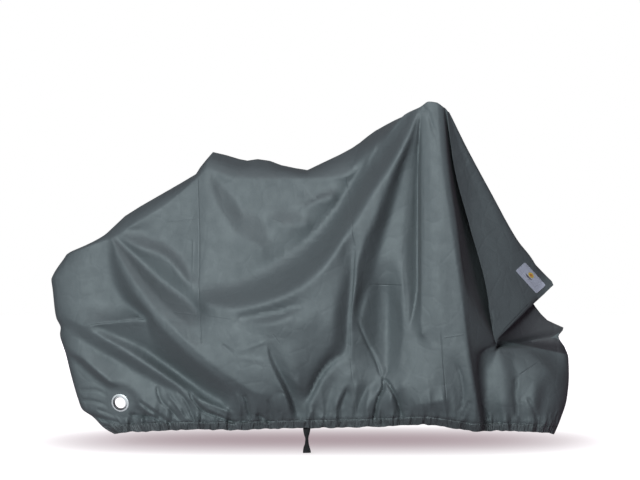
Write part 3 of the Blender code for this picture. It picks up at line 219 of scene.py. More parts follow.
# folds: name, height in mm (+ ridge, - trough), half width left and right, crispness, share over which the ends fade, path
NEAR_FOLDS = (
    ("needle_a", 5, 3, 3, 0.80, .20, .35, ((377, 143), (371, 155), (362, 171))),
    ("needle_b", 6, 3, 4, 0.80, .20, .35, ((381, 160), (369, 180), (352, 205))),
    ("knot_c", -5, 3, 3, 0.50, .25, .10, ((389, 366), (386, 373), (383, 380))),
    ("tab", 6, 5, 6, 0.60, .10, .10, ((301, 425), (312, 412), (323, 420))),
    ("chev_a", -4, 3, 3, 0.70, .15, .20, ((221, 344), (228, 350), (235, 357))),
    ("chev_b", 2.5, 3, 3, 0.60, .20, .20, ((235, 357), (250, 359), (266, 362))),
    ("chev_c", 2.5, 3, 3, 0.60, .20, .20, ((236, 352), (252, 347), (267, 341))),
    ("lip", -5, 3, 3, 0.60, .10, .15, ((422, 106), (429, 115), (433, 127), (438, 139))),
    ("v_ear", -4, 4, 4, 0.50, .15, .15, ((455, 170), (461, 163), (468, 157))),
    ("w_ear_a", 4, 3, 3, 0.60, .20, .20, ((486, 314), (494, 318), (506, 318))),
    ("w_ear_b", -4, 3, 3, 0.60, .20, .20, ((488, 320), (497, 323), (508, 321))),
    ("knot_a", -20, 2.5, 3.5, 0.70, .12, .05, ((383, 377), (383, 388), (378, 399), (375, 412), (374, 421))),
    ("knot_b", -16, 3, 3, 0.60, .10, .10, ((384, 378), (391, 388), (397, 400), (402, 417))),
    ("knot_diag", -9, 2, 3, 0.80, .15, .05, ((357, 320), (366, 341), (375, 359), (381, 376))),
    ("pucker_a", -8, 2.5, 3.5, 0.70, .10, .15, ((157, 385), (160, 399), (171, 411), (184, 424))),
    ("pucker_b", -18, 2.5, 3.5, 0.70, .12, .10, ((188, 391), (195, 402), (204, 411), (220, 417.5), (237, 424))),
    ("pucker_b_up", 9, 4, 4, 0.50, .20, .20, ((193, 393), (206, 402), (222, 409), (236, 417))),
    ("pucker_c", -9, 2.5, 3, 0.60, .15, .10, ((176, 390), (185, 400), (190, 411), (195, 423))),
    ("pucker_c_up", 7, 3, 3, 0.60, .20, .15, ((166, 392), (174, 402), (181, 412), (190, 424))),
    ("pucker_d", -16, 2.5, 3.5, 0.60, .15, .05, ((244, 394), (247, 405), (250, 420))),
    ("pucker_d_up", 9, 3, 3, 0.60, .20, .10, ((236, 392), (239, 402), (240, 416))),
    ("pucker_e", -16, 3, 3, 0.60, .15, .05, ((255, 415), (262, 417), (270, 423))),
    ("pucker_f", -8, 3, 3, 0.60, .25, .10, ((268, 398), (272, 408), (276, 420))),
    ("heel_line", -4.5, 2.5, 3, 0.70, .10, .10, ((79, 391), (95, 390.5), (109, 396))),
    ("heel_line_b", -6, 2.5, 3, 0.70, .10, .20, ((79, 400), (96, 402), (112, 407))),
    ("heel_line_c", -6, 2.5, 3, 0.70, .10, .10, ((96, 409), (112, 414), (128, 418))),
    ("heel_fold", -15, 3, 3.5, 0.70, .10, .20, ((92, 416.5), (106, 420), (122, 423.5))),
    ("heel_fold_b", -14, 2.5, 3.5, 0.70, .12, .10, ((126, 412), (138, 416), (152, 417), (160, 421))),
    ("heel_fold_c", -14, 3, 4, 0.60, .15, .10, ((136, 400), (150, 410), (162, 418), (172, 425))),
    ("wheel_line_a", -8, 2.5, 3, 0.60, .15, .10, ((478, 400), (484, 410), (489, 420))),
    ("wheel_line_b", -10, 2.5, 3, 0.60, .15, .10, ((516, 376), (515, 395), (517, 418))),
    ("wheel_line_c", -7, 2.5, 3, 0.60, .20, .10, ((527, 396), (533, 408), (537, 420))),
    ("lobe_line_a", -7, 2.5, 3, 0.60, .15, .15, ((456, 362), (462, 380), (463, 396), (460, 412))),
    ("lobe_line_b", -6, 2.5, 3, 0.60, .20, .10, ((470, 400), (466, 409), (463, 418))),
)
# packing creases: name, height in mm (+ ridge, - groove), half width, from, to
NEAR_CREASES = (
    ("fold_198_a", -1.2, 1.1, (197.6, 176), (199.4, 232)),
    ("fold_198_b", -1.4, 1.2, (199.4, 230), (199.0, 302)),
    ("fold_192", 0.8, 1.4, (193.5, 238), (192.0, 290)),
    ("fold_198_c", -1.2, 1.1, (199.0, 302), (201.5, 345)),
    ("fold_352_a", -1.3, 1.1, (346.5, 176), (351.0, 217)),
    ("fold_352_b", -1.3, 1.1, (351.0, 217), (355.0, 248)),
    ("fold_352_c", -1.5, 1.1, (355.0, 248), (350.0, 326)),
    ("fold_352_d", -1.2, 1.1, (350.0, 326), (350.5, 358)),
    ("fold_352_e", -0.8, 1.1, (350.5, 358), (356.0, 420)),
    ("fold_442_a", -1.4, 1.0, (440.5, 330), (446.5, 402)),
    ("fold_442_b", 0.9, 1.1, (443.5, 337.5), (464, 334.5)),
    ("fold_rear", -1.6, 1.2, (84, 325.5), (147, 318.5)),
    ("fold_arch", -1.6, 1.0, (369, 284.6), (402.5, 285.4)),
    ("fold_row_a", -0.7, 1.1, (205, 316), (232, 320)),
    ("fold_row_b", -0.8, 1.1, (172, 312), (199, 315)),
    ("fold_wheel", -1.6, 1.1, (519.5, 375), (539.5, 361.5)),
    ("fold_saddle", 0.7, 1.1, (272, 219), (283, 223)),
    ("fold_tail", -0.7, 1.2, (165, 223), (197, 219)),
    ("small_a", -0.7, 1.0, (273, 334), (280, 344)),
    ("ear_edge", -1.0, 1.0, (503, 331), (530, 303)),
)
FAR_LINES = (
    ("shoulder", 2, ((110, 233, 0), (140, 221, 0), (165, 203, 0), (197, 178, 0), (209, 171, 0), (222, 177, 0), (280, 178, 0), (345, 176, 0), (370, 151, 0), (398, 122, 0), (420, 107, 0), (438, 104, 0))),
    ("hem", 2, ((112, 424, 0), (160, 422, 0), (250, 421, 0), (350, 419, 0), (430, 416, 0), (480, 423, 0), (556, 424, 0))),
    ("rear_edge", 2, ((68, 254, 0), (53, 278, 0), (58, 320, 0), (67, 356, 0), (80, 404, 0), (112, 430, 0))),
    ("front_edge", 2, ((566, 352, 0), (567, 375, 0), (558, 418, 0))),
    ("flap_edge", 2, ((448, 116, 0), (492, 196, 0), (552, 286, 0))),
    ("lobe_side", 1, ((441, 110, 0), (452, 197, 0), (465, 290, 0), (475, 350, 0), (481, 412, 0))),
    ("flap_side", 1, ((446, 116, 0), (467, 210, 0), (490, 300, 0), (496, 338, 0))),
    ("swag_valley", 5, ((412, 112, 0), (394, 130, -9), (374, 154, -18), (356, 182, -27), (340, 212, -36), (320, 242, -42), (294, 264, -39), (262, 280, -27), (230, 292, -12))),
    ("swag_crest", 3, ((416, 114, 8), (407, 134, 39), (394, 160, 70), (380, 188, 90), (366, 216, 101), (350, 248, 103), (328, 276, 95), (300, 296, 77), (268, 308, 57), (232, 314, 36))),
    ("second_valley", 2, ((417, 115, 7), (407, 142, 34), (395, 172, 53), (383, 206, 65), (373, 240, 67), (365, 276, 58), (360, 310, 43))),
    ("second_crest", 3, ((419, 117, 10), (413, 146, 48), (405, 178, 74), (396, 212, 89), (387, 248, 89), (379, 286, 74), (372, 330, 53), (366, 360, 31))),
    ("lobe_valley", 2, ((421, 130, -6), (418, 180, -27), (416, 240, -39), (418, 300, -24), (422, 345, -8))),
    ("seat_low", 2, ((210, 176, 4), (220, 206, 15), (238, 236, 20), (268, 256, 6))),
    ("seat_up", 3, ((216, 178, 0), (240, 204, -15), (266, 226, -15), (282, 248, -6))),
    ("groove_valley", 3, ((346, 262, 51), (342, 296, 18), (334, 332, -9), (320, 362, -18), (308, 398, -12))),
    ("groove_right", 2, ((358, 330, 36), (346, 356, 24), (330, 378, 15), (314, 408, 4))),
    ("rack_crest", 2, ((110, 236, 3), (124, 268, 39), (146, 300, 60), (172, 328, 69), (202, 356, 69), (232, 380, 51), (256, 394, 30))),
    ("rack_gutter", 3, ((113, 235, 0), (140, 260, -12), (168, 286, -15), (194, 306, -3))),
    ("rack_foot", 3, ((108, 244, 0), (114, 276, -12), (126, 304, -27), (148, 338, -39), (176, 370, -42), (210, 396, -21))),
    ("heel_crest", 1.5, ((62, 330, 6), (84, 344, 21), (110, 360, 27), (140, 382, 21), (166, 404, 12))),
    ("heel_foot", 2, ((66, 350, -3), (86, 364, -14), (110, 384, -15), (136, 404, -12), (156, 418, -4))),
    ("curtain_crest", 1, ((262, 330, 33), (270, 358, 36), (282, 388, 27), (290, 416, 6))),
    ("curtain_foot", 1.5, ((268, 334, 27), (278, 360, 12), (292, 390, -12), (298, 416, -6))),
    ("fan", 2, ((366, 418, 0), (372, 396, 12), (384, 372, 15))),
    ("fan_foot", 2, ((384, 418, -3), (388, 398, -12), (396, 372, -6))),
    ("wheel_crest_a", 3, ((501, 354, 10), (506, 378, 18), (508, 404, 15))),
    ("wheel_foot_a", 3, ((514, 354, -4), (519, 378, -12), (521, 404, -10))),
    ("wheel_crest_b", 2, ((524, 346, 4), (538, 362, 14), (550, 382, 8))),
    ("flap_crest", 4, ((454, 156, 8), (470, 214, 16), (488, 272, 15))),
    ("flap_dip", 6, ((468, 160, 0), (490, 218, -14), (509, 276, -14))),
)
FAR_FOLDS = (
    ("rear_ridge", 8, 10, 12, 0.30, 0.10, 0.25, ((64, 332), (96, 344), (130, 366), (164, 392), (186, 412))),
    ("low_trough", -9, 8, 10, 0.20, 0.20, 0.15, ((372, 330), (366, 368), (360, 416))),
    ("fan_trough", -8, 5, 6, 0.30, 0.20, 0.10, ((334, 390), (330, 406), (327, 421))),
    ("tail_pucker", -10, 4, 5, 0.50, 0.15, 0.10, ((186, 392), (200, 410), (232, 423))),
    ("rack_pucker", -8, 4, 4, 0.50, 0.15, 0.10, ((94, 416), (110, 419), (130, 424))),
)
FAR_CREASES = (
    ("fold_198", -1.4, 1.2, (198.0, 178), (200.5, 424)),
    ("fold_352", -1.4, 1.2, (350.0, 176), (352.0, 422)),
    ("fold_442", -1.3, 1.1, (441.0, 300), (446.0, 420)),
    ("fold_rear", -1.4, 1.2, (78, 322), (196, 318)),
    ("fold_row", -0.9, 1.2, (204, 318), (346, 316)),
)
EYELETS = (
    ("eyelet_near", -1, 120.2, 402.8, 62.0, 14.0, 10.0),
    ("eyelet_far", 1, 115.6, 406.6, 55.0, 16.0, 12.0),
)
EYELET_FLAT = (11.0, 24.0)


def place(x, y, depth):
    k = (EYE_D + depth) / EYE_D
    px = (EYE[0] - ORIGIN[0]) * UNIT + (x - EYE[0]) * UNIT * k
    pz = (ORIGIN[1] - EYE[1]) * UNIT + (EYE[1] - y) * UNIT * k
    return np.stack([px, np.broadcast_to(depth, np.shape(px)), pz], -1)


def smooth(x, a=0.0, b=1.0):
    s = np.clip((x - a) / (b - a), 0, 1)
    return s * s * (3 - 2 * s)


def monotone(t, p, q):
    t, p, q = np.asarray(t, float), np.asarray(p, float), np.asarray(q, float)
    col = (-1,) + (1,) * (p.ndim - 1)
    h = np.diff(t)
    hh = h.reshape(col)
    d = np.diff(p, axis=0) / hh
    m = np.zeros_like(p)
    if len(t) > 2:
        w1, w2 = 2 * hh[1:] + hh[:-1], hh[1:] + 2 * hh[:-1]
        same = d[:-1] * d[1:] > 0
        lo, hi = np.where(same, d[:-1], 1.0), np.where(same, d[1:], 1.0)
        m[1:-1] = np.where(same, (w1 + w2) / (w1 / lo + w2 / hi), 0.0)
    m[0], m[-1] = d[0], d[-1]
    i = np.clip(np.searchsorted(t, q, side="right") - 1, 0, len(t) - 2)
    s, g = (q - t[i]) / h[i], h[i]
    if p.ndim > 1:
        s, g = s.reshape(s.shape + (1,) * (p.ndim - 1)), g.reshape(g.shape + (1,) * (p.ndim - 1))
    return ((2 * s**3 - 3 * s**2 + 1) * p[i] + (s**3 - 2 * s**2 + s) * m[i] * g
            + (-2 * s**3 + 3 * s**2) * p[i + 1] + (s**3 - s**2) * m[i + 1] * g)


def columns(rows, v):
    a = np.array(rows, float)
    q = np.clip(v, a[0, 0], a[-1, 0])
    return [monotone(a[:, 0], a[:, k], q) for k in range(1, a.shape[1])]


def belted(rows):
    """Adds the row just under the shoulder, where the roof turns into the side, and the one where the hem tucks in."""
    rows = list(rows)
    k = next(i for i, r in enumerate(rows) if r[0] == 1)
    if rows[k + 1][0] == 2:
        a, b = rows[k], rows[k + 1]
        rows.insert(k + 1, (1.12,) + tuple(p + (q - p) * 0.10 for p, q in zip(a[1:], b[1:])))
    if rows[-1][0] == 4:
        a, b = rows[-2], rows[-1]
        rows.insert(-1, (3.6, a[1] + (b[1] - a[1]) * 0.6, a[2] + (b[2] - a[2]) * 0.6, a[3] + (b[3] - a[3]) * 0.42))
    return tuple(rows)


def section_net(v):
    rear_x, rear_y = columns(REAR, v)
    front_x, front_y = columns(FRONT, v)
    cut = {}
    for name, rows in SECTIONS:
        x, y, w = columns(belted(rows), v)
        w = np.where(v < 1, rows[1][3] * np.clip(v, 0, 1) ** 0.85, w)
        cut[name] = (x, y, w)
    net = [(rear_x, rear_y, np.zeros_like(v))]
    x1, y1, w1 = cut["rack"]
    for a in TAIL_SPLIT:
        c, s = 1 - math.cos(a * math.pi / 2), math.sin(a * math.pi / 2)
        net.append((rear_x + (x1 - rear_x) * c, rear_y + (y1 - rear_y) * c, w1 * s))
    for name, _ in SECTIONS[:-2]:
        net.append(cut[name])
    xe, ye, we = cut["border"]
    lower = smooth(v, 2.12, 2.6)
    tuck = np.interp(v, *TUCK)
    for name, share, a in zip(("ear", "crest"), EAR_SHARE, NOSE_SPLIT):
        f = (1 - lower) * share + lower * math.sin(a * math.pi / 2)
        w = we * ((1 - lower) * (1 - share) * tuck + lower * math.cos(a * math.pi / 2))
        up = v <= 2.0
        x, y, wu = cut[name]
        net.append((np.where(up, x, xe + (front_x - xe) * f), np.where(up, y, ye + (front_y - ye) * f),
                    np.where(up, wu, w)))
    a0, a = NOSE_SPLIT[1:]
    turn = (math.sin(a * math.pi / 2) - math.sin(a0 * math.pi / 2)) / (1 - math.sin(a0 * math.pi / 2))
    x2, y2, w2 = net[-1]
    f = (1 - lower) * 0.6 + lower * turn
    net.append((x2 + (front_x - x2) * f, y2 + (front_y - y2) * f,
                (1 - lower) * w2 * 0.45 + lower * we * math.cos(a * math.pi / 2)))
    net.append((front_x, front_y, np.zeros_like(v)))
    return np.array([list(s) for s in net])


def section_stations():
    n = section_net(np.array([1.6, 2.3, 3.0]))
    p = np.stack([n[:, 0] * UNIT, n[:, 2] / 1000.0, n[:, 1] * UNIT], -1)
    d = np.linalg.norm(np.diff(p, axis=0), axis=-1).mean(1)
    return np.concatenate([[0], np.cumsum(np.maximum(d, 0.012))])


def base(t, v):
    knots = section_stations()
    net = section_net(v)
    out = np.empty((3,) + v.shape)
    for k in range(v.shape[0]):
        out[:, k] = monotone(knots, net[:, :, k, :], np.array(t[k]))
    x, y, w = out
    top, hem = np.array(TOP, float), np.array(HEM, float)
    for line, row, near in ((top, 0, 1 - smooth(v, 0.0, 1.0)), (hem, -1, smooth(v, 3.3, 4.0))):
        inside = (x[:, row] > line[0, 0]) & (x[:, row] < line[-1, 0])
        lift = np.where(inside, np.interp(x[:, row], line[:, 0], line[:, 1]) - y[:, row], 0.0)
        y = y + lift[:, None] * near
    return x, y, w / 1000.0


def bend(points, n=8):
    p = np.asarray(points, float)
    q = np.vstack([2 * p[0] - p[1], p, 2 * p[-1] - p[-2]])
    s = np.linspace(0, 1, n, endpoint=False)[:, None]
    out = []
    for a, b, c, d in zip(q[:-3], q[1:-2], q[2:-1], q[3:]):
        out.append(0.5 * (2 * b + (c - a) * s + (2 * a - 5 * b + 4 * c - d) * s**2 + (3 * b - a - 3 * c + d) * s**3))
    return np.vstack(out + [p[-1:]])


def crest(u, crisp):
    a = np.minimum(np.abs(u), 1.0)
    return (1 - a * a) ** 2 * (1 - crisp) + (1 - a) ** 1.6 * (1 + 0.3 * a) * crisp


def follow(x, y, path):
    """Points of the board near a path: their mask, distance to its right, share along it and the path's own columns."""
    c = bend(path)
    reach = 80.0
    m = ((x > c[:, 0].min() - reach) & (x < c[:, 0].max() + reach)
         & (y > c[:, 1].min() - reach) & (y < c[:, 1].max() + reach))
    px, py = x[m], y[m]
    length = np.maximum(np.linalg.norm(np.diff(c[:, :2], axis=0), axis=1), 1e-6)
    run = np.concatenate([[0], np.cumsum(length)])
    near = np.full(px.shape, 1e9)
    side, along = np.zeros(px.shape), np.zeros(px.shape)
    for i, l in enumerate(length):
        dx, dy = (c[i + 1, :2] - c[i, :2]) / l
        ux, uy = px - c[i, 0], py - c[i, 1]
        s = np.clip(ux * dx + uy * dy, 0, l)
        d2 = (ux - s * dx) ** 2 + (uy - s * dy) ** 2
        k = d2 < near
        near[k], side[k], along[k] = d2[k], (dy * ux - dx * uy)[k], (run[i] + s)[k]
    extra = [np.interp(along, run, c[:, k]) for k in range(2, c.shape[1])]
    return m, np.sqrt(near) * np.sign(side), along / run[-1], extra


def spread(values, known, rounds):
    """Relaxes the unknown cells of a grid until each is the mean of its neighbours."""
    i, j = np.indices(values.shape)
    colours = [((i + j) % 2 == k) & ~known for k in (0, 1)]
    for _ in range(rounds):
        for mine in colours:
            v = np.pad(values, 1, mode="edge")
            mean = (v[:-2, 1:-1] + v[2:, 1:-1] + v[1:-1, :-2] + v[1:-1, 2:]) / 4
            values = np.where(mine, values + 1.75 * (mean - values), values)
    return values


def blur(grid, sigma):
    n = max(1, int(math.ceil(2.6 * sigma)))
    k = np.exp(-0.5 * (np.arange(-n, n + 1) / sigma) ** 2)
    k /= k.sum()
    for axis in (0, 1):
        pad = [(n, n) if a == axis else (0, 0) for a in (0, 1)]
        g = np.pad(grid, pad, mode="edge")
        grid = sum(w * (g[m:m + grid.shape[0]] if axis == 0 else g[:, m:m + grid.shape[1]]) for m, w in enumerate(k))
    return grid


def sample(grid, x, y, cell):
    gx = np.clip((x - BOARD[0]) / cell, 0, grid.shape[0] - 1.001)
    gy = np.clip((y - BOARD[1]) / cell, 0, grid.shape[1] - 1.001)
    i, j = gx.astype(int), gy.astype(int)
    fx, fy = gx - i, gy - j
    return ((grid[i, j] * (1 - fx) + grid[i + 1, j] * fx) * (1 - fy)
            + (grid[i, j + 1] * (1 - fx) + grid[i + 1, j + 1] * fx) * fy)


BOARD = (36.0, 84.0, 592.0, 456.0)
CELL = 0.8
BLURS = (0.4, 1.0, 2.0, 3.6, 6.0)


def line_height(x, y, lines):
    """Cloth drawn taut between fold lines, with the turn at each line as soft as the line says."""
    grids = None
    for factor in (16, 8, 4, 2, 1):
        cell = CELL * factor
        shape = (int((BOARD[2] - BOARD[0]) / cell) + 2, int((BOARD[3] - BOARD[1]) / cell) + 2)
        total, soft, count = np.zeros(shape), np.zeros(shape), np.zeros(shape)
        for _, softness, path in lines:
            c = bend(path)
            run = np.concatenate([[0], np.cumsum(np.linalg.norm(np.diff(c[:, :2], axis=0), axis=1))])
            s = np.linspace(0, run[-1], int(run[-1] / (0.4 * CELL)) + 2)
            px, py, ph = (np.interp(s, run, c[:, k]) for k in range(3))
            i = np.clip(np.rint((px - BOARD[0]) / cell).astype(int), 0, shape[0] - 1)
            j = np.clip(np.rint((py - BOARD[1]) / cell).astype(int), 0, shape[1] - 1)
            np.add.at(total, (i, j), ph)
            np.add.at(soft, (i, j), softness)
            np.add.at(count, (i, j), 1)
        known = count > 0
        n = np.maximum(count, 1)
        if grids is None:
            start = [np.zeros(shape), np.full(shape, 2.0)]
        else:
            ci = np.minimum(np.arange(shape[0]) / 2, grids[0].shape[0] - 1.001)
            cj = np.minimum(np.arange(shape[1]) / 2, grids[0].shape[1] - 1.001)
            gx, gy = np.meshgrid(ci * 2 * cell + BOARD[0], cj * 2 * cell + BOARD[1], indexing="ij")
            start = [sample(g, gx, gy, 2 * cell) for g in grids]
        grids = [spread(np.where(known, t / n, g), known, 60 if factor > 1 else 40) for g, t in zip(start, (total, soft))]
    height, soft = grids
    levels = [blur(height, b / CELL) for b in BLURS]
    at = np.interp(soft, BLURS, range(len(BLURS)))
    k = np.clip(at.astype(int), 0, len(BLURS) - 2)
    stack = np.stack(levels)
    i, j = np.indices(soft.shape)
    height = stack[k, i, j] * (1 - (at - k)) + stack[k + 1, i, j] * (at - k)
    return sample(height, x, y, CELL) / 1000.0


def fold_height(x, y, folds):
    total = np.zeros_like(x)
    for _, depth, left, right, crisp, fade_in, fade_out, path in folds:
        m, u, s, _ = follow(x, y, path)
        width = np.where(u < 0, left, right)
        total[m] += depth * smooth(s, 0, fade_in) * smooth(1 - s, 0, fade_out) * crest(u / width, crisp)
    return total / 1000.0


def lattice(seed):
    r = np.random.RandomState(seed)
    a = r.uniform(0, 2 * math.pi, (64, 64))
    return np.cos(a), np.sin(a)


def ripple(x, y, seed):
    """Smooth gradient noise of unit cells, about -1 to 1."""
    gx, gy = lattice(seed)
    i, j = np.floor(x).astype(int), np.floor(y).astype(int)
    fx, fy = x - i, y - j
    ux, uy = fx**3 * (fx * (fx * 6 - 15) + 10), fy**3 * (fy * (fy * 6 - 15) + 10)
    def dot(a, b):
        return gx[(i + a) % 64, (j + b) % 64] * (fx - a) + gy[(i + a) % 64, (j + b) % 64] * (fy - b)
    return 1.5 * ((dot(0, 0) * (1 - ux) + dot(1, 0) * ux) * (1 - uy) + (dot(0, 1) * (1 - ux) + dot(1, 1) * ux) * uy)


def gathers(x, y, drop, seed):
    """Puckers that run up from the elastic hem: drop is the height above the hem line in board units."""
    h = np.zeros_like(x)
    warp = 3.0 * ripple(x / 40.0, drop / 30.0, seed)
    band = 1 - smooth(drop, 6.5, 8.5)
    for length, mm, reach in ((8.0, 10.0, 13.0), (14.0, 15.0, 22.0), (28.0, 15.0, 34.0)):
        s = ripple((x + warp) / length, drop / (length * 6.0) + length, seed + int(length))
        tall = reach * (0.55 + 0.75 * (0.5 + 0.5 * ripple(x / (length * 2.2) + 7.0, np.zeros_like(x) + 0.37, seed + 40)))
        fade = np.exp(-(np.maximum(drop - 4.0, 0) / tall) ** 1.6)
        h += mm * fade * (0.5 - 1.7 * np.abs(s)) * (1 - 0.55 * band)
    fine = ripple((x + 0.4 * warp) / 4.7, drop / 40.0, seed + 5) + 0.6 * ripple(x / 2.9, drop / 30.0, seed + 6)
    h += 3.4 * fine * np.exp(-(np.maximum(drop - 5.5, 0) / 4.0) ** 2)
    h -= 3.0 * np.exp(-((drop - 8.4) / 1.4) ** 2)
    return h / 1000.0


def eyelet_frame(side, x, y, half, turn, tilt):
    centre = place(np.array(x), np.array(y), np.array(-half / 1000.0))
    a, b = math.radians(turn), math.radians(tilt)
    n = np.array([-math.sin(a) * math.cos(b), -math.cos(a) * math.cos(b), -math.sin(b)])
    if side > 0:
        centre[1], n[1] = -centre[1], -n[1]
    u = np.array([1.0, 0.0, 0.0])
    u = u - n * (u @ n)
    u /= np.linalg.norm(u)
    return centre, n, u, np.cross(n, u)


def flank(side, t, v, lines, folds):
    """One side of the cover: points (n, m, 3), board x and y. Folds push the cloth along the line of sight."""
    x, y, w = base(t, v)
    knots = section_stations()
    pleat = smooth(t[:, None], knots[-7], knots[-6]) * (1 - smooth(np.abs(v - 2.09), 0.13, 0.20))
    drop = y[:, -1:] - y
    seed = 3 if side < 0 else 7
    y = y + 0.9 * ripple(x / 6.5, np.zeros_like(x) + 0.4, seed + 9) * (1 - smooth(drop, 0.0, 9.0))
    low = smooth(v, 2.4, 3.0)
    h = line_height(x, y, lines) + fold_height(x, y, folds) + low * gathers(x, y, drop, seed)
    h += 0.0024 * ripple(x / 46.0, y / 58.0, seed + 20) + 0.0012 * ripple(x / 17.0, y / 22.0, seed + 21)
    h += 0.0006 * ripple(x / 7.0, y / 8.0, seed + 22)
    h *= smooth(w, 0.0, 0.03) * (1 - pleat) * smooth(v, 0.2, 1.0)
    p = place(x, y, -(w + h))
    for _, eye_side, ex, ey, half, turn, tilt in EYELETS:
        if eye_side == side:
            c, n, _, _ = eyelet_frame(-1, ex, ey, half, turn, tilt)
            keep = 1 - smooth(np.hypot(x - ex, y - ey), *EYELET_FLAT)
            p[..., 1] -= keep * ((p - c) @ n) / n[1]
    if side > 0:
        p[..., 1] *= -1
    return p, x, y, drop


# rows of v: from, to, count (even counts, because the far side and the inner face take every second row)
ROW_BANDS = ((0.0, 1.0, 12), (1.0, 2.0, 46), (2.0, 2.05, 4), (2.05, 2.10, 6), (2.10, 2.15, 4), (2.15, 2.2, 4),
             (2.2, 3.0, 26), (3.0, 3.7, 20), (3.7, 4.0, 12))


def row_values():
    out = [0.0]
    for a, b, n in ROW_BANDS:
        out += list(np.linspace(a, b, n + 1)[1:])
    return np.array(out)
# ==== end of shape section ===================================================================================

COLS = 409                       # columns of the near side
COLUMN_NEED = ((50, 200, 330, 345, 425, 445, 560), (1.0, 0.8, 0.8, 1.3, 1.3, 0.8, 0.8))
HEM_T = 0.0028                   # the folded hem is thicker than the cloth
INNER_T = 0.0016
FAR_SHIFT, INNER_SHIFT = 1000.0, 5000.0      # keep the far side's and the lining's drawing off the near side's


def column_stations():
    """Columns spaced partly by length of cloth, partly by width on the board, so that crisp folds get enough of them."""
    t = np.linspace(0, section_stations()[-1], 2001)
    x = base(t, np.broadcast_to(np.array([1.5, 2.0, 3.0]), (2001, 3)).copy())[0]
    step = np.maximum(np.diff(x, axis=0), 0).mean(1)
    width = np.concatenate([[0], np.cumsum(step * np.interp(x[1:, 0], *COLUMN_NEED))])
    pace = 0.40 * t / t[-1] + 0.60 * width / width[-1]
    return np.interp(np.linspace(0, 1, COLS), pace, t)


def shell_points():
    v, t = row_values(), column_stations()
    near, *near_board = flank(-1, t, np.broadcast_to(v, (len(t), len(v))).copy(), NEAR_LINES, NEAR_FOLDS)
    t2, v2 = t[::2], v[::2]
    far, *far_board = flank(1, t2, np.broadcast_to(v2, (len(t2), len(v2))).copy(), FAR_LINES, FAR_FOLDS)
    for p in (near, far):
        p[:, 0, 1] = p[0, :, 1] = p[-1, :, 1] = 0
    far[:, 0], far[0, :], far[-1, :] = near[::2, 0], near[0, ::2], near[-1, ::2]
    return t, v, near, far, near_board, far_board


def column_lengths(p):
    d = np.linalg.norm(np.diff(p, axis=1), axis=-1)
    return np.concatenate([np.zeros((p.shape[0], 1)), np.cumsum(d, axis=1)], axis=1)


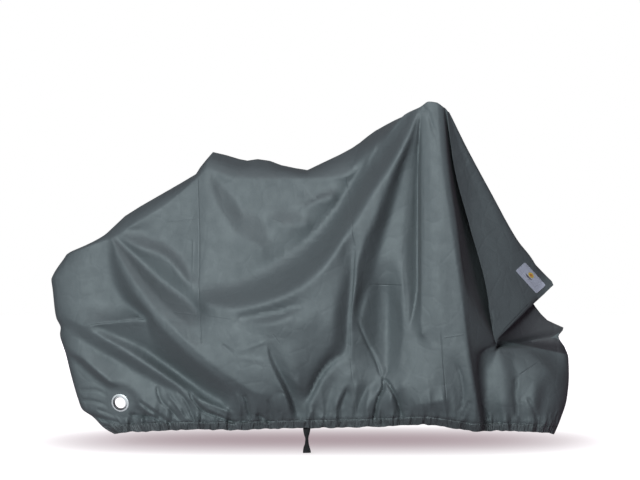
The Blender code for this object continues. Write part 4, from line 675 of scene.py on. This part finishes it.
def build_cover():
    """The whole cover as one closed shell: outer near side (fine), outer far side and both inner faces (coarser)."""
    t, v, near, far, near_board, far_board = shell_points()
    n, m = near.shape[:2]
    n2, m2 = far.shape[:2]
    verts, uv, board, hem = [], [], [], []
    ids = {}

    def add(kind, p, u, where):
        out = np.empty(p.shape[:2], int)
        for i in range(p.shape[0]):
            for j in range(p.shape[1]):
                out[i, j] = len(verts)
                verts.append(tuple(p[i, j]))
                uv.append((u[0][i], u[1][i, j]))
                board.append((where[0][i, j], where[1][i, j]))
                hem.append((u[0][i], where[2][i, j]))
        ids[kind] = out
        return out

    a = add("near", near, (t, column_lengths(near)), near_board)
    b = add("far", far, (t[::2] + 4.0, column_lengths(far)), (far_board[0] + FAR_SHIFT, *far_board[1:]))
    b[:, 0], b[0, :], b[-1, :] = a[::2, 0], a[0, ::2], a[-1, ::2]
    faces = []
    for i in range(n - 1):
        for j in range(m - 1):
            faces.append((a[i, j], a[i, j + 1], a[i + 1, j + 1], a[i + 1, j]))

    def edge_mid(i0, j0, i1, j1):
        """The near side's extra vertex on a shared edge of the far grid."""
        if j0 == 0 and j1 == 0:
            return [a[i0 + i1, 0]]
        if i0 == i1 == 0:
            return [a[0, j0 + j1]]
        if i0 == i1 == n2 - 1:
            return [a[-1, j0 + j1]]
        return []

    for i in range(n2 - 1):
        for j in range(m2 - 1):
            ring = [(i, j), (i + 1, j), (i + 1, j + 1), (i, j + 1)]
            face = []
            for (p, q), (r, s) in zip(ring, ring[1:] + ring[:1]):
                face.append(b[p, q])
                face += edge_mid(p, q, r, s)
            faces.append(tuple(face))
    outer_count = len(faces)

    me = bpy.data.meshes.new("outer_probe")
    me.from_pydata(verts, [], faces)
    me.update()
    normal = np.empty(len(verts) * 3)
    me.vertex_normals.foreach_get("vector", normal)
    normal = normal.reshape(-1, 3)
    bpy.data.meshes.remove(me)
    pts = np.array(verts)

    def inner(grid, rows):
        thick = INNER_T + (HEM_T - INNER_T) * smooth(rows, 3.72, 3.80)
        g = grid
        return pts[g] - normal[g] * thick[None, :, None]

    v2 = v[::2]
    inside = [k[::2, ::2] + INNER_SHIFT for k in near_board]
    c = add("inner_near", inner(a[::2, ::2], v2), (t[::2] + 8.0, column_lengths(near[::2, ::2])), inside)
    d = add("inner_far", inner(b, v2), (t[::2] + 12.0, column_lengths(far)), [k + INNER_SHIFT for k in far_board])
    d[:, 0], d[0, :], d[-1, :] = c[:, 0], c[0, :], c[-1, :]
    for i in range(n2 - 1):
        for j in range(m2 - 1):
            faces.append((c[i, j], c[i + 1, j], c[i + 1, j + 1], c[i, j + 1]))
            faces.append((d[i, j], d[i, j + 1], d[i + 1, j + 1], d[i + 1, j]))
    for i in range(n2 - 1):
        faces.append((a[2 * i, -1], c[i, -1], c[i + 1, -1], a[2 * i + 2, -1], a[2 * i + 1, -1]))
        faces.append((b[i, -1], b[i + 1, -1], d[i + 1, -1], d[i, -1]))
    used = sorted({int(k) for f in faces for k in f})
    new = {k: i for i, k in enumerate(used)}
    me = bpy.data.meshes.new("cover_cloth")
    me.from_pydata([verts[k] for k in used], [], [tuple(new[int(k)] for k in f) for f in faces])
    loops = np.empty(len(me.loops), int)
    me.loops.foreach_get("vertex_index", loops)
    for name, values in (("cloth", uv), ("board", board), ("hem", hem)):
        layer = me.uv_layers.new(name=name)
        layer.data.foreach_set("uv", np.array([values[k] for k in used])[loops].ravel())
    ob = bpy.data.objects.new("cover_cloth", me)
    bpy.context.scene.collection.objects.link(ob)
    cut_holes(me)
    me.shade_smooth()
    me.set_sharp_from_angle(angle=math.radians(75))
    return ob


def cut_holes(me):
    bm = bmesh.new()
    bm.from_mesh(me)
    for name, side, x, y, half, turn, tilt in EYELETS:
        c, n, _, _ = eyelet_frame(side, x, y, half, turn, tilt)
        c, n = Vector(c), Vector(n)
        r = 0.0225
        gone, near_rim = [], set()
        for f in bm.faces:
            dc = f.calc_center_median() - c
            if dc.length < 0.06:
                flat = dc - n * dc.dot(n)
                if flat.length < r and abs(dc.dot(n)) < 0.012:
                    gone.append(f)
        cut_edges = {e for f in gone for e in f.edges}
        bmesh.ops.delete(bm, geom=gone, context="FACES")
        rim = [e for e in cut_edges if e.is_valid and len(e.link_faces) == 1]
        for vert in {w for e in rim for w in e.verts}:
            dv = vert.co - c
            up = n * dv.dot(n)
            flat = dv - up
            vert.co = c + up + flat.normalized() * r
        bmesh.ops.bridge_loops(bm, edges=rim)
    bm.to_mesh(me)
    bm.free()


def new_object(name, me):
    ob = bpy.data.objects.new(name, me)
    bpy.context.scene.collection.objects.link(ob)
    return ob


def turned(name, profile, frame, steps=128):
    """A closed profile of (radius, height) turned about the frame's normal."""
    c, n, u, w = frame
    ang = np.linspace(0, 2 * math.pi, steps, endpoint=False)
    k = len(profile)
    pts = [tuple(c + u * (r * math.cos(a)) + w * (r * math.sin(a)) + n * h) for a in ang for r, h in profile]
    faces = [(i * k + j, ((i + 1) % steps) * k + j, ((i + 1) % steps) * k + (j + 1) % k, i * k + (j + 1) % k)
             for i in range(steps) for j in range(k)]
    me = bpy.data.meshes.new(name)
    me.from_pydata(pts, [], faces)
    bm = bmesh.new()
    bm.from_mesh(me)
    bmesh.ops.recalc_face_normals(bm, faces=bm.faces[:])
    bm.to_mesh(me)
    bm.free()
    me.shade_smooth()
    me.set_sharp_from_angle(angle=math.radians(50))
    return new_object(name, me)


def eyelet_profile():
    """Rolled flange outside, flat washer inside, and the groove that holds the cloth."""
    hole, out = 0.0190, 0.0300
    top, low = GAP, -INNER_T - GAP
    barrel = hole + 0.0012
    pts = [(out - 0.0004, top), (barrel, top), (barrel, low), (out - 0.0022, low), (out - 0.0018, low - 0.0005),
           (out - 0.0026, low - 0.0008), (hole + 0.0008, low - 0.0008), (hole, low - 0.0003), (hole, top + 0.0006)]
    for k in range(1, 7):                      # rolled inner lip, then the flange's shallow dome
        a = math.pi / 2 * k / 6
        pts.append((hole + 0.0020 * (1 - math.cos(a)), top + 0.0006 + 0.0018 * math.sin(a)))
    pts += [(hole + 0.0036, top + 0.00235), (hole + 0.0055, top + 0.00215), (hole + 0.0075, top + 0.0017),
            (out - 0.0018, top + 0.0011), (out - 0.0006, top + 0.00075), (out, top + 0.0004)]
    return pts


def shell_strip(name, rows, thick, uv_scale=1.0):
    """A closed thin strip from a grid of outer points (n, m, 3), thickened inward along its normals."""
    n, m = rows.shape[:2]
    normal = np.cross(np.gradient(rows, axis=0), np.gradient(rows, axis=1))
    normal /= np.maximum(np.linalg.norm(normal, axis=-1, keepdims=True), 1e-12)
    back = rows - normal * thick
    pts = np.concatenate([rows.reshape(-1, 3), back.reshape(-1, 3)])
    a = np.arange(n * m).reshape(n, m)
    b = a + n * m
    faces = []
    for i in range(n - 1):
        for j in range(m - 1):
            faces.append((a[i, j], a[i + 1, j], a[i + 1, j + 1], a[i, j + 1]))
            faces.append((b[i, j], b[i, j + 1], b[i + 1, j + 1], b[i + 1, j]))
    rim = [(i, 0) for i in range(n)] + [(n - 1, j) for j in range(1, m)]
    rim += [(i, m - 1) for i in range(n - 2, -1, -1)] + [(0, j) for j in range(m - 2, 0, -1)]
    for (p, q), (r, s) in zip(rim, rim[1:] + rim[:1]):
        faces.append((a[p, q], b[p, q], b[r, s], a[r, s]))
    me = bpy.data.meshes.new(name)
    me.from_pydata([tuple(p) for p in pts], [], [tuple(int(k) for k in f) for f in faces])
    layer = me.uv_layers.new(name="cloth")
    loops = np.empty(len(me.loops), int)
    me.loops.foreach_get("vertex_index", loops)
    du = np.concatenate([[0], np.cumsum(np.linalg.norm(np.diff(rows[:, m // 2], axis=0), axis=-1))])
    dv = np.concatenate([[0], np.cumsum(np.linalg.norm(np.diff(rows[n // 2], axis=0), axis=-1))])
    uv = np.stack(np.meshgrid(du, dv, indexing="ij"), -1).reshape(-1, 2)
    layer.data.foreach_set("uv", (np.concatenate([uv, uv]) * uv_scale)[loops].ravel())
    bm = bmesh.new()
    bm.from_mesh(me)
    bmesh.ops.recalc_face_normals(bm, faces=bm.faces[:])
    bm.to_mesh(me)
    bm.free()
    me.shade_smooth()
    me.set_sharp_from_angle(angle=math.radians(60))
    return new_object(name, me)


# the fold's inner end and its two edges bound the painted shade under the front's fold
FOLD_END = (496.0, 340.0)
FOLD_EDGES = ((41.0, -37.0, 1.5), (-66.0, -14.0, 1.5))     # along the upper edge outward, along the lower edge back
LABEL_AT = (530.4, 278.0)
LABEL_TURN = 47.8
LABEL_SIZE = (0.103, 0.042)


def cloth_hit(tree, x, y):
    """Where the line of sight through a board point first meets the cloth, and its normal there."""
    eye = Vector(place(np.array(EYE[0]), np.array(EYE[1]), np.array(-EYE_D)))
    aim = Vector(place(np.array(float(x)), np.array(float(y)), np.array(0.0)))
    p, n, _, _ = tree.ray_cast(eye, (aim - eye).normalized())
    return p, n


def label_points(tree, size, n, m, at=(0.0, 0.0), lift=0.0012, corner=0.0):
    """A grid laid on the front flap: size in metres, at is the offset from the label's middle in metres."""
    a = math.radians(LABEL_TURN)
    long_u = np.array((math.cos(a), math.sin(a))) * UNIT_PER_M
    wide_u = np.array((-math.sin(a), math.cos(a))) * UNIT_PER_M
    out = np.empty((n, m, 3))
    mean = Vector((0, 0, 0))
    grid = {}
    for i in range(n):
        for j in range(m):
            p = (i / (n - 1) - 0.5) * size[0]
            q = (j / (m - 1) - 0.5) * size[1]
            if corner:                      # draw the grid's ends in, for round corners
                edge = max(0.0, abs(p) - (size[0] / 2 - corner))
                reach = size[1] / 2 - corner + math.sqrt(max(0.0, corner**2 - edge**2))
                q *= reach / (size[1] / 2)
            b = np.array(LABEL_AT) + long_u * (p + at[0]) + wide_u * (q + at[1])
            hit, normal = cloth_hit(tree, b[0], b[1])
            grid[i, j] = hit
            mean += normal
    mean.normalize()
    for (i, j), hit in grid.items():
        out[i, j] = hit + mean * lift
    # the patch is stiffer than the cloth, so its own face is smoothed
    for _ in range(3):
        mid = out.copy()
        mid[1:-1] = (out[:-2] + out[2:] + 2 * out[1:-1]) / 4
        mid[:, 1:-1] = (mid[:, :-2] + mid[:, 2:] + 2 * mid[:, 1:-1]) / 4
        shift = ((mid - out) @ np.array(mean))[..., None] * np.array(mean)
        out = out + np.maximum(shift, 0)
    return out


# belly strap: height above the ground, x, depth, width, twist in degrees
STRAP = (
    (0.1180, 306.6, -0.1080, 0.0250, 4), (0.0900, 306.8, -0.1080, 0.0246, 10), (0.0720, 307.0, -0.1085, 0.0215, 34),
    (0.0560, 307.3, -0.1095, 0.0190, 62), (0.0420, 307.2, -0.1105, 0.0205, 58), (0.0270, 306.9, -0.1110, 0.0240, 36),
    (0.0130, 307.0, -0.1110, 0.0262, 14), (0.0090, 307.0, -0.1110, 0.0262, 12),
)


def build_strap():
    table = np.array(STRAP)
    run = np.linspace(0, len(STRAP) - 1, 60)
    rows = monotone(np.arange(len(STRAP)), table, run)
    ground = (ORIGIN[1] - GROUND) * UNIT
    out = np.empty((60, 13, 3))
    for i, (height, x, depth, width, twist) in enumerate(rows):
        c = place(np.array(x), np.array(EYE[1]), np.array(depth))
        a = math.radians(twist)
        for j in range(13):
            s = (j / 12 - 0.5) * width
            curl = 0.0009 * math.cos(math.pi * (j / 12 - 0.5) * 2)
            out[i, j] = (c[0] + math.cos(a) * s + math.sin(a) * curl, c[1] + math.sin(a) * s - math.cos(a) * curl,
                         ground + height)
    return shell_strip("belly_strap_webbing", out, 0.0016)


# ---- materials ----------------------------------------------------------------------------------------------
class Nodes:
    """Short hand for building a node tree."""

    def __init__(self, name):
        self.mat = bpy.data.materials.new(name)
        self.mat.use_nodes = True
        self.tree = self.mat.node_tree
        self.shader = self.tree.nodes["Principled BSDF"]

    def add(self, kind, **props):
        node = self.tree.nodes.new("ShaderNode" + kind)
        for k, v in props.items():
            setattr(node, k, v)
        return node

    def link(self, a, b):
        self.tree.links.new(a, b)

    def put(self, node, socket, value):
        if hasattr(value, "links") or hasattr(value, "is_linked"):
            self.link(value, node.inputs[socket])
        else:
            node.inputs[socket].default_value = value

    def math(self, op, a, b=0.5, clamp=False):
        n = self.add("Math", operation=op, use_clamp=clamp)
        self.put(n, 0, a)
        self.put(n, 1, b)
        return n.outputs[0]

    def mix(self, fac, a, b, blend="MIX"):
        n = self.add("Mix", data_type="RGBA", blend_type=blend)
        self.put(n, 0, fac)
        self.put(n, 6, a)
        self.put(n, 7, b)
        return n.outputs[2]

    def noise(self, vector, scale, detail=3.0, rough=0.5):
        n = self.add("TexNoise")
        self.put(n, "Vector", vector)
        self.put(n, "Scale", scale)
        self.put(n, "Detail", detail)
        self.put(n, "Roughness", rough)
        return n.outputs[0]

    def span(self, value, a, b, c=0.0, d=1.0):
        n = self.add("MapRange", clamp=True)
        self.put(n, 0, value)
        for k, v in zip((1, 2, 3, 4), (a, b, c, d)):
            n.inputs[k].default_value = v
        return n.outputs[0]

    def bump(self, height, strength, distance, normal=None):
        n = self.add("Bump")
        self.put(n, "Height", height)
        n.inputs["Strength"].default_value = strength
        n.inputs["Distance"].default_value = distance
        if normal is not None:
            self.link(normal, n.inputs["Normal"])
        return n.outputs[0]

    def weave(self, uv, pitch):
        """Plain weave of that thread pitch in metres, 0 to 1."""
        sep = self.add("SeparateXYZ")
        self.link(uv, sep.inputs[0])
        k = 2 * math.pi / pitch
        a = self.math("SINE", self.math("MULTIPLY", sep.outputs[0], k))
        b = self.math("SINE", self.math("MULTIPLY", sep.outputs[1], k))
        return self.span(self.math("ADD", self.math("MULTIPLY", a, b), self.math("MULTIPLY", a, 0.35)), -1.2, 1.2)


def crease_height(m, creases, shift):
    """Sharp packing creases drawn on the board: a sum of ridges along straight runs, in mm."""
    point = m.add("UVMap", uv_map="board").outputs[0]
    total = None
    for _, mm, half, (x0, y0), (x1, y1) in creases:
        length = math.hypot(x1 - x0, y1 - y0)
        dx, dy = (x1 - x0) / length, (y1 - y0) / length
        rel = m.add("VectorMath", operation="SUBTRACT")
        m.link(point, rel.inputs[0])
        rel.inputs[1].default_value = (x0 + shift, y0, 0)
        parts = []
        for axis in ((dx, dy, 0), (-dy, dx, 0)):
            dot = m.add("VectorMath", operation="DOT_PRODUCT")
            m.link(rel.outputs[0], dot.inputs[0])
            dot.inputs[1].default_value = axis
            parts.append(dot.outputs["Value"])
        run = m.math("PINGPONG", m.span(parts[0], 0.0, length, 0.0, 2.0), 1.0)
        ridge = m.span(m.math("ABSOLUTE", parts[1]), 0.0, half, mm, 0.0)
        ridge = m.math("MULTIPLY", ridge, m.span(run, 0.0, 0.16))
        total = ridge if total is None else m.math("ADD", total, ridge)
    return total


def elastic_height(m):
    """The gathered elastic: upright ruffles in the hem band, the puckers above it and the stitch line between them."""
    at = m.add("SeparateXYZ")
    m.link(m.add("UVMap", uv_map="hem").outputs[0], at.inputs[0])
    run, drop = at.outputs[0], at.outputs[1]

    def upright(per_metre, slant, shift):
        v = m.add("CombineXYZ")
        m.link(m.math("ADD", m.math("MULTIPLY", run, per_metre), shift), v.inputs[0])
        m.link(m.math("MULTIPLY", drop, slant), v.inputs[1])
        return m.noise(v.outputs[0], 1.0, 2.0, 0.5)

    band = m.span(drop, 6.6, 8.6, 1.0, 0.0)
    ruffle = m.math("MULTIPLY", m.span(upright(74.0, 0.06, 0.0), 0.30, 0.70), band)
    reach = m.math("DIVIDE", drop, m.span(upright(16.0, 0.0, 40.0), 0.30, 0.70, 9.0, 26.0))
    low = m.span(reach, 0.25, 1.0, 1.0, 0.0)
    pucker = m.math("MULTIPLY", m.span(upright(36.0, 0.035, 90.0), 0.34, 0.66), low)
    stitch = m.span(m.math("ABSOLUTE", m.math("SUBTRACT", drop, 7.8)), 0.25, 0.95, 1.0, 0.0)
    total = m.math("ADD", m.math("MULTIPLY", ruffle, 7.0), m.math("MULTIPLY", pucker, 7.5))
    return m.math("SUBTRACT", total, m.math("MULTIPLY", stitch, 2.2)), band


def painted_fold_shade(m):
    """Painted shade on the layer under the front's fold: between two lines from the fold's inner end."""
    rel = m.add("VectorMath", operation="SUBTRACT")
    m.link(m.add("UVMap", uv_map="board").outputs[0], rel.inputs[0])
    rel.inputs[1].default_value = (*FOLD_END, 0)
    mask = None
    for x, y, soft in FOLD_EDGES:
        size = math.hypot(x, y)
        dot = m.add("VectorMath", operation="DOT_PRODUCT")
        m.link(rel.outputs[0], dot.inputs[0])
        dot.inputs[1].default_value = (-y / size, x / size, 0)
        side = m.span(dot.outputs["Value"], 0.0, soft)
        mask = side if mask is None else m.math("MULTIPLY", mask, side)
    reach = m.add("VectorMath", operation="LENGTH")
    m.link(rel.outputs[0], reach.inputs[0])
    return m.math("MULTIPLY", mask, m.span(reach.outputs["Value"], 90.0, 110.0, 1.0, 0.0))


def crumple(m, obj):
    """Soft unevenness with small crisp-edged facets in it, as coated cloth keeps them after it was packed away."""
    cells = m.add("TexVoronoi", feature="DISTANCE_TO_EDGE")
    cells.inputs["Scale"].default_value = 17.0
    m.link(obj, cells.inputs["Vector"])
    return m.math("ADD", m.noise(obj, 34.0, 5.0, 0.62), m.span(cells.outputs["Distance"], 0.0, 0.12, 0.0, 0.5))


def cloth_material():
    m = Nodes("cover_cloth")
    obj = m.add("TexCoord").outputs["Object"]
    uv = m.add("UVMap", uv_map="cloth").outputs[0]
    tone = m.span(m.noise(obj, 3.2, 4.0, 0.55), 0.30, 0.70)
    fine = m.span(m.noise(obj, 55.0, 3.0, 0.6), 0.25, 0.75)
    colour = m.mix(tone, (0.080, 0.091, 0.098, 1), (0.090, 0.102, 0.109, 1))
    colour = m.mix(m.math("MULTIPLY", fine, 0.18), colour, (0.107, 0.121, 0.128, 1))
    weave = m.weave(uv, 0.0011)
    colour = m.mix(m.math("MULTIPLY", weave, 0.10), colour, (0.042, 0.050, 0.055, 1))
    elastic, band = elastic_height(m)
    # painted shade: the layer under the front's fold is darkened almost to black
    colour = m.mix(m.math("MULTIPLY", painted_fold_shade(m), 0.84), colour, (0.020, 0.014, 0.020, 1))
    # painted shade: the hem band's colour is darkened for the shade of the tucked-in hem
    colour = m.mix(m.math("MULTIPLY", band, 0.40), colour, (0.056, 0.054, 0.058, 1))
    m.link(colour, m.shader.inputs["Base Color"])
    m.link(m.span(m.noise(obj, 26.0, 3.0, 0.6), 0.3, 0.7, 0.66, 0.76), m.shader.inputs["Roughness"])
    m.shader.inputs["Specular IOR Level"].default_value = 1.0
    m.shader.inputs["IOR"].default_value = 1.60
    m.shader.inputs["Sheen Weight"].default_value = 0.03
    m.shader.inputs["Sheen Roughness"].default_value = 0.4
    creases = m.math("ADD", crease_height(m, NEAR_CREASES, 0.0), crease_height(m, FAR_CREASES, FAR_SHIFT))
    n = m.bump(creases, 1.0, 0.001)
    n = m.bump(elastic, 1.0, 0.001, n)
    n = m.bump(crumple(m, obj), 0.35, 0.0022, n)
    n = m.bump(weave, 0.22, 0.00025, n)
    m.link(n, m.shader.inputs["Normal"])
    return m.mat


def metal_material():
    m = Nodes("eyelet_metal")
    obj = m.add("TexCoord").outputs["Object"]
    wear = m.span(m.noise(obj, 240.0, 4.0, 0.6), 0.4, 0.75)
    nearest = []
    for shift in ((0.0, 0.0, 0.0), (0.0028, 0.0, 0.0034)):
        least = None
        for _, side, x, y, half, turn, tilt in EYELETS:
            centre, _, _, _ = eyelet_frame(side, x, y, half, turn, tilt)
            reach = m.add("VectorMath", operation="DISTANCE")
            m.link(obj, reach.inputs[0])
            reach.inputs[1].default_value = tuple(np.array(centre) + shift)
            least = reach.outputs["Value"] if least is None else m.math("MINIMUM", least, reach.outputs["Value"])
        nearest.append(least)
    # a dark crescent of painted shade on the lip's low rear side, standing in for the shade inside the bore
    painted_bore_shade = m.math("MULTIPLY", m.span(nearest[0], 0.0240, 0.0252, 0.94, 0.0), m.span(nearest[1], 0.0208, 0.0226))
    colour = m.mix(wear, (0.86, 0.83, 0.84, 1), (0.72, 0.695, 0.705, 1))
    m.link(m.mix(painted_bore_shade, colour, (0.030, 0.026, 0.030, 1)), m.shader.inputs["Base Color"])
    m.shader.inputs["Metallic"].default_value = 0.20
    m.link(m.span(m.noise(obj, 420.0, 3.0, 0.6), 0.3, 0.8, 0.30, 0.46), m.shader.inputs["Roughness"])
    m.link(m.bump(m.noise(obj, 900.0, 3.0, 0.6), 0.12, 0.0002), m.shader.inputs["Normal"])
    return m.mat


def woven_material(name, dark, light, pitch, rough=0.7, ribs=0.0):
    m = Nodes(name)
    uv = m.add("UVMap", uv_map="cloth").outputs[0]
    obj = m.add("TexCoord").outputs["Object"]
    weave = m.weave(uv, pitch)
    colour = m.mix(weave, dark, light)
    colour = m.mix(m.math("MULTIPLY", m.span(m.noise(obj, 90.0, 4.0, 0.6), 0.35, 0.75), 0.25), colour, dark)
    m.link(colour, m.shader.inputs["Base Color"])
    m.shader.inputs["Roughness"].default_value = rough
    m.shader.inputs["Sheen Weight"].default_value = 0.15
    n = m.bump(weave, 0.5, pitch * 0.4)
    if ribs:
        sep = m.add("SeparateXYZ")
        m.link(uv, sep.inputs[0])
        rib = m.math("SINE", m.math("MULTIPLY", sep.outputs[1], 2 * math.pi / ribs))
        n = m.bump(rib, 0.5, ribs * 0.2, n)
    m.link(n, m.shader.inputs["Normal"])
    return m.mat


def label_material():
    """Woven patch: a stitched border and a small sun over two plain bars."""
    m = Nodes("label_cloth")
    uv = m.add("UVMap", uv_map="cloth").outputs[0]
    at = m.add("SeparateXYZ")
    m.link(uv, at.inputs[0])
    u = m.math("SUBTRACT", at.outputs[0], LABEL_SIZE[0] / 2)
    w = m.math("SUBTRACT", at.outputs[1], LABEL_SIZE[1] / 2)
    weave = m.weave(uv, 0.0007)
    colour = m.mix(weave, (0.465, 0.455, 0.560, 1), (0.600, 0.590, 0.700, 1))

    def spot(cu, cw, ru, rw):
        a = m.math("POWER", m.math("ABSOLUTE", m.math("DIVIDE", m.math("SUBTRACT", u, cu), ru)), 2.0)
        b = m.math("POWER", m.math("ABSOLUTE", m.math("DIVIDE", m.math("SUBTRACT", w, cw), rw)), 2.0)
        return m.span(m.math("ADD", a, b), 0.85, 1.1, 1.0, 0.0)

    def bar(cu, cw, ru, rw):
        a = m.span(m.math("ABSOLUTE", m.math("SUBTRACT", u, cu)), ru, ru + 0.0004, 1.0, 0.0)
        return m.math("MULTIPLY", a, m.span(m.math("ABSOLUTE", m.math("SUBTRACT", w, cw)), rw, rw + 0.0004, 1.0, 0.0))

    colour = m.mix(spot(0.002, -0.003, 0.0135, 0.0092), colour, (0.76, 0.52, 0.080, 1))
    colour = m.mix(spot(0.002, -0.003, 0.0075, 0.0048), colour, (0.68, 0.24, 0.050, 1))
    colour = m.mix(bar(0.001, 0.0092, 0.0170, 0.0012), colour, (0.085, 0.075, 0.090, 1))
    colour = m.mix(bar(0.001, 0.0124, 0.0120, 0.0009), colour, (0.085, 0.075, 0.090, 1))
    edge_u = m.math("SUBTRACT", LABEL_SIZE[0] / 2, m.math("ABSOLUTE", u))
    edge_w = m.math("SUBTRACT", LABEL_SIZE[1] / 2, m.math("ABSOLUTE", w))
    seam = m.span(m.math("ABSOLUTE", m.math("SUBTRACT", m.math("MINIMUM", edge_u, edge_w), 0.0026)), 0.0003, 0.0007, 1.0, 0.0)
    dash = m.span(m.math("SINE", m.math("MULTIPLY", m.math("ADD", u, w), 2 * math.pi / 0.0036)), -0.4, 0.0)
    stitch = m.math("MULTIPLY", seam, dash)
    colour = m.mix(m.math("MULTIPLY", stitch, 0.7), colour, (0.120, 0.115, 0.150, 1))
    m.link(colour, m.shader.inputs["Base Color"])
    m.shader.inputs["Roughness"].default_value = 0.72
    m.shader.inputs["Sheen Weight"].default_value = 0.12
    n = m.bump(weave, 0.5, 0.00028)
    m.link(m.bump(stitch, 1.0, 0.0004, n), m.shader.inputs["Normal"])
    return m.mat


def floor_material():
    """White paper, with a faint soft shade where the cover stands over it."""
    m = Nodes("studio_floor")
    m.shader.inputs["Base Color"].default_value = (0.26, 0.20, 0.23, 1)
    m.shader.inputs["Roughness"].default_value = 0.9
    m.shader.inputs["Specular IOR Level"].default_value = 0.0
    obj = m.add("SeparateXYZ")
    m.link(m.add("TexCoord").outputs["Object"], obj.inputs[0])
    across = m.math("POWER", m.math("ABSOLUTE", m.math("DIVIDE", m.math("ADD", obj.outputs[0], 0.37), 1.02)), 4.0)
    deep = m.math("POWER", m.math("ABSOLUTE", m.math("DIVIDE", m.math("SUBTRACT", obj.outputs[1], 0.28), 0.42)), 2.0)
    glow = m.span(m.math("ADD", across, deep), 0.0, 1.0, 0.0, 1.0)
    shade = m.mix(glow, (0.33, 0.265, 0.275, 1), (1.0, 1.0, 1.0, 1))
    seen = m.add("LightPath")
    m.link(shade, m.shader.inputs["Emission Color"])
    m.link(seen.outputs["Is Camera Ray"], m.shader.inputs["Emission Strength"])
    return m.mat


# ---- camera, light and floor --------------------------------------------------------------------------------
AMBIENT = 0.042
# name, place, size in metres, power in watts, colour
LIGHTS = (
    ("key", (-1.85, -5.4, 0.50), (1.5, 1.5), 277, (0.82, 0.975, 0.99)),
    ("top", (-0.4, -2.2, 3.6), (3.0, 2.0), 34, (1.0, 0.95, 1.0)),
    # these two only reach the far side and the front end, which the photograph's camera doesn't see
    ("back", (-0.6, 5.6, 0.3), (2.2, 1.8), 300, (0.90, 1.0, 1.01)),
    ("front_end", (3.6, 4.4, 1.0), (1.8, 1.8), 110, (0.92, 1.0, 1.0)),
)


def area(name, at, aim, size, power, colour=(1, 1, 1)):
    data = bpy.data.lights.new(name, "AREA")
    data.shape = "RECTANGLE"
    data.size, data.size_y = size
    data.energy = power
    data.color = colour
    ob = bpy.data.objects.new(name, data)
    bpy.context.scene.collection.objects.link(ob)
    ob.location = at
    ob.rotation_euler = (Vector(aim) - Vector(at)).to_track_quat("-Z", "Y").to_euler()
    ob.visible_glossy = at[1] < 0             # the lights behind give no glare along the ridge
    return ob


def stage():
    scene = bpy.context.scene
    scene.view_settings.view_transform = "Standard"
    cam = bpy.data.cameras.new("camera")
    cam.sensor_width = 36.0
    cam.lens = UNIT_PER_M * EYE_D / 640.0 * 36.0
    cam.clip_end = 100.0
    ob = bpy.data.objects.new("camera", cam)
    scene.collection.objects.link(ob)
    ob.location = ((EYE[0] - ORIGIN[0]) * UNIT, -EYE_D, (ORIGIN[1] - EYE[1]) * UNIT)
    ob.rotation_euler = (math.radians(90), 0, 0)
    scene.camera = ob
    world = bpy.data.worlds.new("studio")
    world.use_nodes = True
    tree = world.node_tree
    sky = tree.nodes["Background"]
    sky.inputs[0].default_value = (1.0, 0.64, 0.90, 1)
    sky.inputs[1].default_value = AMBIENT
    paper = tree.nodes.new("ShaderNodeBackground")
    paper.inputs[0].default_value = (1, 1, 1, 1)
    seen = tree.nodes.new("ShaderNodeLightPath")
    mix = tree.nodes.new("ShaderNodeMixShader")
    tree.links.new(seen.outputs["Is Camera Ray"], mix.inputs[0])
    tree.links.new(sky.outputs[0], mix.inputs[1])
    tree.links.new(paper.outputs[0], mix.inputs[2])
    tree.links.new(mix.outputs[0], tree.nodes["World Output"].inputs[0])
    scene.world = world
    ground = (ORIGIN[1] - GROUND) * UNIT
    me = bpy.data.meshes.new("floor")
    s = 9.0
    me.from_pydata([(-s, -s, ground), (s, -s, ground), (s, s, ground), (-s, s, ground)], [], [(0, 1, 2, 3)])
    floor = new_object("floor", me)
    me.materials.append(floor_material())
    mid = (-0.40, 0.0, -0.55)
    for name, at, size, power, colour in LIGHTS:
        area(name, at, mid, size, power, colour)


def main():
    stage()
    cover = build_cover()
    cover.data.materials.append(cloth_material())
    metal = metal_material()
    tree = BVHTree.FromObject(cover, bpy.context.evaluated_depsgraph_get())
    pieces = [(cover, "cover", "cover_cloth")]
    for name, side, x, y, half, turn, tilt in EYELETS:
        ring = turned(name + "_ring", eyelet_profile(), eyelet_frame(side, x, y, half, turn, tilt))
        ring.data.materials.append(metal)
        pieces.append((ring, name, "eyelet_metal"))
    label = shell_strip("label_patch", label_points(tree, LABEL_SIZE, 61, 27, corner=0.004), 0.0008)
    label.data.materials.append(label_material())
    pieces.append((label, "label", "label_cloth"))
    strap = build_strap()
    strap.data.materials.append(woven_material("strap_webbing", (0.006, 0.005, 0.006, 1), (0.022, 0.018, 0.021, 1),
                                               0.0016, 0.7, 0.0031))
    pieces.append((strap, "belly_strap", "strap_webbing"))
    for ob, node, name in pieces:
        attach(ob, "root")
        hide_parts(node)
    print("triangles", {p[0].name: sum(len(f.vertices) - 2 for f in p[0].data.polygons) for p in pieces})


main()
